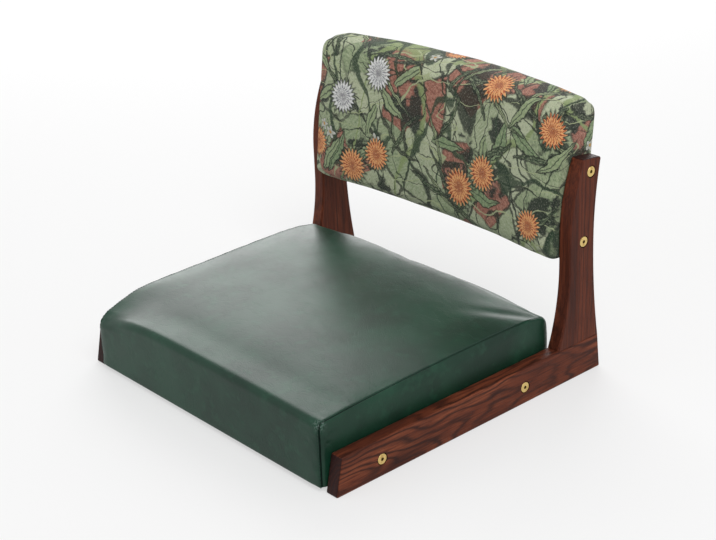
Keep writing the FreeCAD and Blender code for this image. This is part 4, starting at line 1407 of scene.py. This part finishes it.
def bolt_axes() -> tuple[tuple[float, float], ...]:
    """Find the four bolts of a side from the CAD bolts' boxes.

    Returns:
        Their depths and heights.
    """
    axes = []
    for node in ("right_seat_bolts", "right_back_bolts"):
        low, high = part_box(node)
        axes.append((low.y + HEAD_RADIUS, low.z + HEAD_RADIUS))
        axes.append((high.y - HEAD_RADIUS, high.z - HEAD_RADIUS))
    return tuple(axes)


@dataclass(frozen=True)
class Palette:
    """Every material of the chair."""

    rail_wood: bpy.types.Material
    upright_wood: bpy.types.Material
    softwood: bpy.types.Material
    plywood: bpy.types.Material
    brass: bpy.types.Material
    zinc: bpy.types.Material
    leatherette: bpy.types.Material
    floral: bpy.types.Material
    black_cloth: bpy.types.Material
    dark_thread: bpy.types.Material
    cover_thread: bpy.types.Material

    @classmethod
    def mixed(cls) -> "Palette":
        """Build every finish once.

        Returns:
            All of them.
        """
        return cls(
            rail_wood=StainedWood("rail_wood", Grain.ALONG_DEPTH).material(),
            upright_wood=StainedWood("upright_wood", Grain.ALONG_HEIGHT, heart=0.055,
                                     heart_height=0.36, tilt=0.015, ring=0.0078, warp=0.006,
                                     slowness=0.08, contrast=0.20, seed=3.7).material(),
            softwood=RawWood("softwood", tint(206, 178, 136), tint(176, 140, 98)).material(),
            plywood=RawWood("plywood", tint(214, 190, 150), tint(170, 134, 92)).material(),
            brass=Plating("brass_plating", tint(220, 192, 124), tint(176, 140, 74), 0.16,
                          bolt_axes()).material(),
            zinc=Plating("zinc_plating", tint(196, 198, 202), tint(160, 163, 168), 0.28).material(),
            leatherette=Leatherette().material(),
            floral=FloralCloth().material(),
            black_cloth=PlainCloth("dust_cloth", tint(24, 24, 25), tint(44, 44, 46), 1400.0).material(),
            dark_thread=PlainCloth("leatherette_thread", tint(20, 46, 38), tint(46, 76, 64),
                                   3000.0, 0.6).material(),
            cover_thread=PlainCloth("cover_thread", tint(64, 74, 56), tint(120, 128, 100),
                                    3000.0, 0.7).material(),
        )


@dataclass
class SideFrames:
    """The rails and uprights, and everything in them: CAD nodes that only get their finish."""

    palette: Palette

    def finish(self) -> None:
        """Dress the wooden frames and the hidden woodwork."""
        for side in ("left", "right"):
            dress(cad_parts[f"{side}_rail"], self.palette.rail_wood)
            dress(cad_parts[f"{side}_upright"], self.palette.upright_wood)
            dress(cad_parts[f"{side}_frame_dowels"], self.palette.softwood)
        LOG.info("side frames: two rails and two uprights dressed")


@dataclass
class Hardware:
    """Bolts, inserts, screws and staples."""

    palette: Palette

    def finish(self) -> None:
        """Dress every metal piece."""
        for name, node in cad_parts.items():
            if name.endswith(("_bolts", "_inserts")):
                dress(node, self.palette.brass)
            elif name.endswith(("_screws", "_staples")):
                dress(node, self.palette.zinc)
        LOG.info("hardware: bolts and inserts in brass, screws and staples in zinc")


@dataclass
class InnerFrames:
    """Battens, plywood and the back pad's frame."""

    palette: Palette

    def finish(self) -> None:
        """Dress the raw wood inside the cushions."""
        for name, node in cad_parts.items():
            if name.endswith(("_batten", "_stile", "_top_rail", "_bottom_rail")):
                dress(node, self.palette.softwood)
            elif name.endswith(("_plywood", "_board")):
                dress(node, self.palette.plywood)
        LOG.info("inner frames: battens, boards and stiles in raw wood")


@dataclass
class SeatCushion:
    """The leatherette box cushion with its side seams."""

    palette: Palette
    front_height: float = 0.095
    rear_height: float = 0.102
    crown: float = 0.004
    long_crown: float = 0.0025
    front_roll: float = 0.022
    rear_roll: float = 0.032
    low_roll: float = 0.003
    side_edge: float = 0.005
    front_corner: float = 0.009
    rear_corner: float = 0.028
    draw: float = 0.0012
    start_lower: float = 0.0025  # the top starts this much lower and is blown up to its height
    pitch: float = 0.0078
    edge_pitch: float = 0.36  # over the rounded edges, as a share of the pitch
    soft_from: float = 0.046  # the cover is tight over the wood below this height
    corner_drops: tuple[float, float] = (0.017, 0.001)  # left and right front top corners, worn down
    corner_reach: float = 0.046
    corner_stretch: float = 1.6  # the corners are drawn down this much further along the front
    front_hold: tuple[float, float] = (0.010, 0.075)  # the cover is tight at the front
    front_grip: float = 0.92
    seam_grip: float = 0.9
    wood_hold: tuple[float, float] = (-0.010, 0.020)  # from soft_from up
    rear_drop: float = 0.008  # rear top corners
    sharp_roll: float = 0.009  # the front edge is tight but for its left end
    sharp_from: float = 0.080  # from the left end
    crumple_reach: float = 0.0075
    rear_seam_share: float = 0.25  # the rear seams lie closed
    seam_fade: float = 0.030  # the side seams close up before the rear corners
    groove: float = 0.0018
    gather: float = 0.0006
    corner_gather: float = 2.2  # as a share of gather
    unevenness: float = 0.0003
    rear_seam_height: float = 0.064
    covers: tuple[str, ...] = ("seat_top_cover", "seat_left_side_cover", "seat_right_side_cover",
                               "seat_rear_cover")
    filling: Filling = Filling(pressure=4.0, frames=20, cap=0.005)

    def __post_init__(self) -> None:
        """Take the cushion's outside from the CAD covers."""
        self.low, self.high = joined_box(*self.covers)
        self.half = self.high.x
        self.rear_seam = self.high.y - self.rear_corner
        reach = self.side_edge
        self.block = Block((
            Ruler(-self.half, self.half, reach, reach, self.pitch),
            Ruler(self.low.y, self.high.y, self.front_roll, self.rear_roll, self.pitch,
                  marks=seam_lines(self.rear_seam), dense=self.edge_pitch),
            Ruler(self.low.z, self.front_height, self.low_roll, self.rear_roll, self.pitch,
                  marks=seam_lines(self.rear_seam_height), dense=self.edge_pitch),
        ))

    def _profiled(self, front_roll: float) -> np.ndarray:
        """Round the block's long edges and its ends.

        Args:
            front_roll: Radius of the front edge.

        Returns:
            The block's points.
        """
        points = self.block.grid.copy()
        profile = Profile((Y, Z), (self.low.y, self.low.z), (self.high.y, self.front_height), {
            (-1, 1): front_roll, (1, 1): self.rear_roll,
            (-1, -1): self.low_roll, (1, -1): self.low_roll})
        profile.roll(points)
        profile.ease_ends(points, X, self.half, self.side_edge)
        return points

    def _form(self) -> np.ndarray:
        """Round, crown and slope the block.

        Returns:
            The block's points.
        """
        softer, tighter = (self._profiled(roll) for roll in (self.front_roll, self.sharp_roll))
        share = smooth_step(softer[:, X], -self.half, self.sharp_from - self.half)[:, None]
        points = softer * (1 - share) + tighter * share
        roll_ends(points, Y, self.half, ((self.low.y, -1, self.front_corner),
                                         (self.high.y, 1, self.rear_corner)))
        x, y, z = points.T.copy()
        run = (y - self.low.y) / (self.high.y - self.low.y)
        lifted = smooth_step(z, self.soft_from, self.front_height)
        rise = (self.rear_height - self.front_height) * run
        rise += (self.crown - self.start_lower) * (1 - (x / self.half) ** 2)
        rise += self.long_crown * 4 * run * (1 - run)
        points[:, Z] += rise * lifted
        waist = np.sin(np.clip(run, 0, 1) * math.pi) * lifted
        points[:, X] -= np.sign(x) * self.draw * waist * (np.abs(x) / self.half) ** 8
        inward = (self.half - np.abs(x)) / self.corner_stretch
        for away, drop in ((y - self.low.y, np.where(x < 0, *self.corner_drops)),
                           (self.high.y - y, self.rear_drop)):
            near = np.exp(-(np.hypot(inward, away) / self.corner_reach) ** 2)
            points[:, Z] -= drop * near * lifted
        return points

    def _seams(self) -> np.ndarray:
        """Mark the seams.

        Returns:
            1 on an open seam, less on a closed one, 0 elsewhere.
        """
        cells, last = self.block.cells, self.block.last
        at_end = (cells[:, X] == 0) | (cells[:, X] == last[X])
        around = ((cells[:, Y] == 0) | (cells[:, Y] == last[Y]) | (cells[:, Z] == last[Z]))
        rear_line = self.block.near_line(Y, self.rear_seam)
        height_line = self.block.near_line(Z, self.rear_seam_height)
        edge = at_end & around & (cells[:, Y] <= rear_line)
        upright = at_end & (cells[:, Y] == rear_line)
        across = (cells[:, Y] == last[Y]) & (cells[:, Z] == height_line)
        turned = at_end & (cells[:, Z] == height_line) & (cells[:, Y] >= rear_line)
        near_rear = self.block.grid[:, Y] > self.rear_seam - self.seam_fade
        open_seam = np.where(edge & ~near_rear, 1.0, 0.0)
        closed = np.where(edge | upright | across | turned, self.rear_seam_share, 0.0)
        return np.maximum(open_seam, closed)

    def _gathers(self, points: np.ndarray, normals: np.ndarray) -> np.ndarray:
        """Small puckers along the side seams, strongest at the front top corners.

        Args:
            points: The cushion's grid points.
            normals: Their normals.

        Returns:
            How far each point moves.
        """
        x, y, z = points.T
        from_seam = np.hypot((self.half - np.abs(x)) / 0.012, (self.front_height - z) / 0.03)
        near = np.exp(-from_seam ** 2)
        corner = np.exp(-(((self.half - np.abs(x)) / 0.022) ** 2 + ((y - self.low.y) / 0.030) ** 2))
        along = ripple(points * np.array([0.3, 1.0, 1.0]), 95.0, 2.0)
        pleats = ripple(points, 150.0, 9.0)
        soft = ripple(points, 16.0, 5.0) * smooth_step(z, self.soft_from, self.front_height)
        puckers = along * near + pleats * corner * self.corner_gather
        return normals * (puckers * self.gather + soft * self.unevenness)[:, None]

    def build(self) -> None:
        points = self._form()
        cushion = self.block.mesh("seat_cushion", points)
        seams = self._seams()
        set_points(cushion, self.filling.inflate(cushion, self._held(points, seams)))
        shaped = get_points(cushion)
        cushion.data.update()
        shaped += self._gathers(shaped, get_normals(cushion))
        shaped[:, X] = np.clip(shaped[:, X], -self.half, self.half)
        set_points(cushion, shaped)
        rows = self._stitch_rows(shaped, get_normals(cushion))
        mark_points(cushion, "seam", seams)
        refine(cushion)
        sink_seams(cushion, self.groove)
        self._mark_crumple(cushion)
        dress(cushion, self.palette.leatherette)
        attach(cushion, "root")
        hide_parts("seat_foam", *self.covers)
        stitches = Stitching().sew("seat_stitches", rows, self.palette.dark_thread)
        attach(stitches, "root")
        log_fit(cushion, *self.covers)

    def _held(self, points: np.ndarray, seams: np.ndarray) -> np.ndarray:
        """How firmly each point is held as the cushion fills.

        Args:
            points: The cushion's grid points.
            seams: 1 on an open seam, less on a closed one.

        Returns:
            From 0, free, to 1, pinned: over the wood, along the seams and at the front.
        """
        over_wood = 1 - smooth_step(points[:, Z] - self.soft_from, *self.wood_hold)
        sewn = np.minimum(seams * self.seam_grip / self.rear_seam_share, self.seam_grip)
        front = 1 - smooth_step(points[:, Y] - self.low.y, *self.front_hold)
        return np.maximum(np.maximum(over_wood, sewn), self.front_grip * front)

    def _mark_crumple(self, cushion: bpy.types.Object) -> None:
        """Mark the crumpled spot at the right-hand front top corner, which gets puckers in the bump and
        painted highlight specks.

        Args:
            cushion: The finished cushion.
        """
        spot = np.array([self.half, self.low.y, self.front_height - 0.003])
        away = np.linalg.norm(get_points(cushion) - spot, axis=1)
        mark_points(cushion, "crumple", np.exp(-(away / self.crumple_reach) ** 2))

    def _stitch_rows(self, points: np.ndarray, normals: np.ndarray) -> list[np.ndarray]:
        """Paths beside the side seams, on the top and front of the cover.

        Args:
            points: The cushion's grid points.
            normals: Their normals.

        Returns:
            One path for each side, from the rear, over the top and down the front.
        """
        raised = Stitching().raised(points, normals)
        last = self.block.last
        rear_line = self.block.near_line(Y, self.rear_seam)
        rows = []
        for line in (1, last[X] - 1):
            cells = [(line, j, last[Z]) for j in range(rear_line, -1, -1)]
            cells += [(line, 0, k) for k in range(last[Z] - 1, 0, -1)]
            rows.append(raised[[self.block.index[cell] for cell in cells]])
        return rows


@dataclass
class BackPad:
    """The bowed back pad in its woven cover, leaning on the uprights' bolts."""

    palette: Palette
    lean: float = math.radians(7.2)
    pivot: tuple[float, float] = (0.18605, 0.190)  # lower bolt in depth and height
    front: float = -0.038
    rear: float = 0.024
    bottom: float = -0.027
    top: float = 0.180
    front_crown: float = 0.007
    rear_crown: float = 0.0035
    top_crown: float = 0.0095  # the cover draws its top and bottom in as it fills
    low_crown: float = 0.004
    bow: float = 0.016
    top_roll: float = 0.024
    low_roll: float = 0.016
    end_roll: float = 0.005
    top_corner: float = 0.014
    low_corner: float = 0.010
    panel_margin: float = 0.018
    pitch: float = 0.0078
    start_lower: float = 0.0025
    rear_start_lower: float = 0.001
    end_hold: tuple[float, float] = (0.014, 0.004)  # the cover is tight over the stiles
    end_grip: float = 0.95
    seam_grip: float = 0.9
    swells: tuple[tuple[float, float, float], ...] = ((13.0, 4.0, 0.0009), (45.0, 8.0, 0.00025))
    groove: float = 0.0012
    covers: tuple[str, ...] = ("back_front_cover", "back_rear_cover")
    filling: Filling = Filling(pressure=4.0, frames=20, cap=0.005)

    def __post_init__(self) -> None:
        """Take the pad's width from the CAD cover and lay out its grid."""
        low, high = joined_box(*self.covers)
        self.half = high.x
        margin = self.panel_margin
        self.block = Block((
            Ruler(-self.half, self.half, self.end_roll, self.end_roll, self.pitch,
                  marks=seam_lines(margin - self.half, self.half - margin)),
            Ruler(self.front, self.rear, self.top_roll, self.top_roll, self.pitch),
            Ruler(self.bottom, self.top, self.low_roll, self.top_roll, self.pitch,
                  marks=seam_lines(self.bottom + margin, self.top - margin)),
        ))

    def _form(self) -> np.ndarray:
        """Round, crown and bow the block in its own upright frame.

        Returns:
            The block's points.
        """
        points = self.block.grid.copy()
        profile = Profile((Y, Z), (self.front, self.bottom), (self.rear, self.top), {
            (-1, 1): self.top_roll, (1, 1): self.top_roll,
            (-1, -1): self.low_roll, (1, -1): self.low_roll})
        profile.roll(points)
        profile.ease_ends(points, X, self.half, self.end_roll)
        roll_ends(points, Z, self.half, ((self.top, 1, self.top_corner),
                                         (self.bottom, -1, self.low_corner)))
        x, depth, height = points.T.copy()
        fall = 1 - (x / self.half) ** 2
        up = np.clip((height - self.bottom) / (self.top - self.bottom), 0, 1)
        belly = np.sin(up * math.pi)
        middle = (self.front + self.rear) / 2
        ahead = np.clip((middle - depth) / (middle - self.front), 0, 1)
        behind = np.clip((depth - middle) / (self.rear - middle), 0, 1)
        full = np.minimum(1, fall * 4)
        points[:, Y] -= (self.front_crown - self.start_lower) * belly * ahead * full
        points[:, Y] += (self.rear_crown - self.rear_start_lower) * belly * behind * full
        points[:, Y] += self.bow * fall
        points[:, Z] += self.top_crown * fall * smooth_step(up, 0.5, 1.0)
        points[:, Z] -= self.low_crown * np.minimum(1, fall * 3) * smooth_step(1 - up, 0.5, 1.0)
        return points

    def _leant(self, points: np.ndarray) -> np.ndarray:
        """Turn points from the pad's upright frame to its place on the chair.

        Args:
            points: Points of the upright pad.

        Returns:
            The same points, leant.
        """
        x, depth, height = points.T
        sine, cosine = math.sin(self.lean), math.cos(self.lean)
        return np.stack([x, depth * cosine + height * sine + self.pivot[0],
                         height * cosine - depth * sine + self.pivot[1]], axis=1)

    def _map_cloth(self, pad: bpy.types.Object) -> None:
        """Unroll the cover: its front and top in one piece, its ends and rear beside them.

        Args:
            pad: The pad, before it is refined.
        """
        lengths = [ruler.unrolled(lines) for ruler, lines in zip(self.block.rulers, self.block.lines)]
        across, deep, tall = (lengths[axis][self.block.cells[:, axis]] for axis in (X, Y, Z))
        ends = [values[-1] for values in lengths]
        spread = {
            (Y, False): (across, tall),
            (Z, True): (across, ends[Z] + deep),
            (Y, True): (across, ends[Z] * 2 + ends[Y] - tall),
            (Z, False): (across, -deep),
            (X, False): (-deep, tall),
            (X, True): (ends[X] + deep, tall),
        }
        layer = pad.data.uv_layers.new(name="cloth")
        flat = np.empty(len(pad.data.loops) * 2)
        loop = 0
        for face, side in zip(self.block.faces, self.block.sides):
            for vertex in face:
                flat[loop * 2] = spread[side][0][vertex]
                flat[loop * 2 + 1] = spread[side][1][vertex]
                loop += 1
        layer.data.foreach_set("uv", flat)

    def _seams(self) -> np.ndarray:
        """Mark the seam round the rear panel.

        Returns:
            1 on the seam, 0 elsewhere.
        """
        cells, last = self.block.cells, self.block.last
        lines = self._panel_lines()
        rear = cells[:, Y] == last[Y]
        within_x = (cells[:, X] >= lines[0]) & (cells[:, X] <= lines[1])
        within_z = (cells[:, Z] >= lines[2]) & (cells[:, Z] <= lines[3])
        on_x = np.isin(cells[:, X], lines[:2])
        on_z = np.isin(cells[:, Z], lines[2:])
        return (rear & within_x & within_z & (on_x | on_z)).astype(float)

    def _panel_lines(self) -> tuple[int, int, int, int]:
        """Find the grid lines round the rear panel.

        Returns:
            Their numbers: left, right, bottom and top.
        """
        near = self.block.near_line
        margin = self.panel_margin
        return (near(X, margin - self.half), near(X, self.half - margin),
                near(Z, self.bottom + margin), near(Z, self.top - margin))

    def build(self) -> None:
        points = self._leant(self._form())
        pad = self.block.mesh("back_cushion", points)
        self._map_cloth(pad)
        seams = self._seams()
        ends = smooth_step(np.abs(points[:, X]), *(self.half - reach for reach in self.end_hold))
        held = np.maximum(ends * self.end_grip, seams * self.seam_grip)
        set_points(pad, self.filling.inflate(pad, held))
        shaped = get_points(pad)
        pad.data.update()
        normals = get_normals(pad)
        swell = sum(ripple(shaped, scale, seed) * height for scale, seed, height in self.swells)
        shaped += normals * swell[:, None]
        shaped[:, X] = np.clip(shaped[:, X], -self.half, self.half)
        set_points(pad, shaped)
        rows = self._stitch_rows(shaped, get_normals(pad))
        mark_points(pad, "seam", seams)
        refine(pad)
        sink_seams(pad, self.groove)
        dress(pad, self.palette.floral)
        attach(pad, "root")
        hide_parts("back_front_foam", "back_rear_foam", *self.covers)
        stitches = Stitching().sew("back_stitches", rows, self.palette.cover_thread)
        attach(stitches, "root")
        log_fit(pad, *self.covers)

    def _stitch_rows(self, points: np.ndarray, normals: np.ndarray) -> list[np.ndarray]:
        """Lay the path of the stitches just outside the rear panel's seam.

        Args:
            points: The pad's grid points.
            normals: Their normals.

        Returns:
            One closed path.
        """
        left, right, low, high = self._panel_lines()
        left, right, low, high = left - 1, right + 1, low - 1, high + 1
        rear = self.block.last[Y]
        cells = [(i, rear, low) for i in range(left, right)]
        cells += [(right, rear, k) for k in range(low, high)]
        cells += [(i, rear, high) for i in range(right, left, -1)]
        cells += [(left, rear, k) for k in range(high, low, -1)]
        cells.append(cells[0])
        raised = Stitching().raised(points, normals)
        return [raised[[self.block.index[cell] for cell in cells]]]


@dataclass
class DustCover:
    """The thin black cloth stapled under the seat."""

    palette: Palette
    pitch: float = 0.008
    corner: float = 0.018
    thickness: float = 0.0004
    sag: float = 0.00012

    def build(self) -> None:
        low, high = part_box("seat_dust_cover")
        across = np.linspace(low.x, high.x, math.ceil((high.x - low.x) / self.pitch) + 1)
        along = np.linspace(low.y, high.y, math.ceil((high.y - low.y) / self.pitch) + 1)
        points = np.array([(x, y, (low.z + high.z) / 2) for y in along for x in across])
        roll_ends(points, Y, high.x, ((low.y, -1, self.corner), (high.y, 1, self.corner)))
        points[:, Z] += ripple(points, 30.0, 6.0) * self.sag
        width = len(across)
        starts = [row * width + n for row in range(len(along) - 1) for n in range(width - 1)]
        faces = [(n, n + width, n + width + 1, n + 1) for n in starts]
        cloth = add_mesh("dust_cloth", points, faces)
        thick = cloth.modifiers.new("thickness", "SOLIDIFY")
        thick.thickness = self.thickness
        thick.offset = 0.0
        baked(cloth)
        cloth.data.shade_smooth()
        dress(cloth, self.palette.black_cloth)
        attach(cloth, "root")
        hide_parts("seat_dust_cover")
        LOG.info("dust cover: %.0f x %.0f mm", (high.x - low.x) * 1000, (high.y - low.y) * 1000)


# Studio


@dataclass(frozen=True)
class Lamp:
    """A square soft light."""

    name: str
    place: tuple[float, float, float]
    aim: tuple[float, float, float]
    side: float
    power: float
    colour: tuple[float, float, float] = (1.0, 1.0, 1.0)

    def hang(self) -> None:
        """Put the light in the scene."""
        data = bpy.data.lights.new(self.name, "AREA")
        data.shape = "SQUARE"
        data.size = self.side
        data.energy = self.power
        data.color = self.colour
        lamp = add_object(self.name, data)
        lamp.location = self.place
        towards = Vector(self.aim) - Vector(self.place)
        lamp.rotation_euler = towards.to_track_quat("-Z", "Y").to_euler()


@dataclass(frozen=True)
class Studio:
    """A pale floor, soft lights and the camera at the photograph's angle."""

    turn: float = math.radians(49.252)
    pitch: float = math.radians(24.360)
    roll: float = math.radians(-2.508)
    eye: tuple[float, float, float] = (1.51115, -1.27990, 1.03053)
    focal_pixels: float = 1650.0
    frame_pixels: float = 716.0
    sensor: float = 36.0
    floor_size: float = 12.0
    ambient: float = 0.48
    paper: Colour = (0.86, 0.86, 0.86, 1.0)
    floor_glow: float = 0.55  # so much of the floor shows white
    lamps: tuple[Lamp, ...] = (
        Lamp("key_light", (1.7, -0.6, 2.4), (0.0, 0.0, 0.1), 1.4, 32.0),
        Lamp("rear_light", (-2.7, 2.2, 1.75), (0.0, 0.0, 0.1), 3.4, 112.0),
        Lamp("front_light", (-0.9, -2.3, 1.5), (0.0, 0.0, 0.15), 1.4, 5.0),
    )

    def build(self) -> None:
        """Set up the camera, the world, the lamps and the floor."""
        self._camera()
        self._world()
        for lamp in self.lamps:
            lamp.hang()
        self._floor()
        bpy.context.scene.view_settings.view_transform = "Standard"
        LOG.info("studio: camera, %d lamps and a floor", len(self.lamps))

    def _camera(self) -> None:
        """Make the camera."""
        data = bpy.data.cameras.new("camera")
        data.sensor_width = self.sensor
        data.lens = self.sensor * self.focal_pixels / self.frame_pixels
        camera = add_object("camera", data)
        turn, pitch = self.turn, self.pitch
        back = Vector((math.sin(turn) * math.cos(pitch), -math.cos(turn) * math.cos(pitch),
                       math.sin(pitch)))
        level = Vector((math.cos(turn), math.sin(turn), 0.0))
        rise = Vector((-math.sin(turn) * math.sin(pitch), math.cos(turn) * math.sin(pitch),
                       math.cos(pitch)))
        right = level * math.cos(self.roll) + rise * math.sin(self.roll)
        up = rise * math.cos(self.roll) - level * math.sin(self.roll)
        turned = Matrix((right, up, back)).transposed().to_4x4()
        camera.matrix_world = Matrix.Translation(self.eye) @ turned
        bpy.context.scene.camera = camera

    def _world(self) -> None:
        """White for the camera and in reflections, softer as light."""
        graph = Graph(bpy.data.worlds.new("studio"))
        strength = graph.value("MapRange", {}, {"Value": graph.in_view(), "To Min": self.ambient,
                                                "To Max": 1.0})
        light = graph.output("Background", {}, {"Color": WHITE, "Strength": strength})
        bpy.context.scene.world = graph.close(light)

    def _floor(self) -> None:
        """A wide pale floor that shows white to the camera and keeps the chair's shadow."""
        half = self.floor_size / 2
        floor = add_mesh("floor", [(-half, -half, 0), (half, -half, 0), (half, half, 0),
                                   (-half, half, 0)], [(0, 1, 2, 3)])
        graph = Graph.of_material("floor_paper")
        paper = graph.output("BsdfDiffuse", {}, {"Color": self.paper})
        white = graph.output("Emission", {}, {"Color": WHITE, "Strength": 1.0})
        mix = {0: graph.in_view() * self.floor_glow, 1: paper, 2: white}
        dress(floor, graph.close(graph.output("MixShader", {}, mix)))


def main() -> None:
    """Dress the CAD frame piece by piece and set up the studio."""
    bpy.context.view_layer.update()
    palette = Palette.mixed()
    Studio().build()
    SideFrames(palette).finish()
    Hardware(palette).finish()
    InnerFrames(palette).finish()
    SeatCushion(palette).build()
    BackPad(palette).build()
    DustCover(palette).build()


if __name__ == "__main__":
    logging.basicConfig(level=logging.INFO, format="%(name)s: %(message)s")
    main()
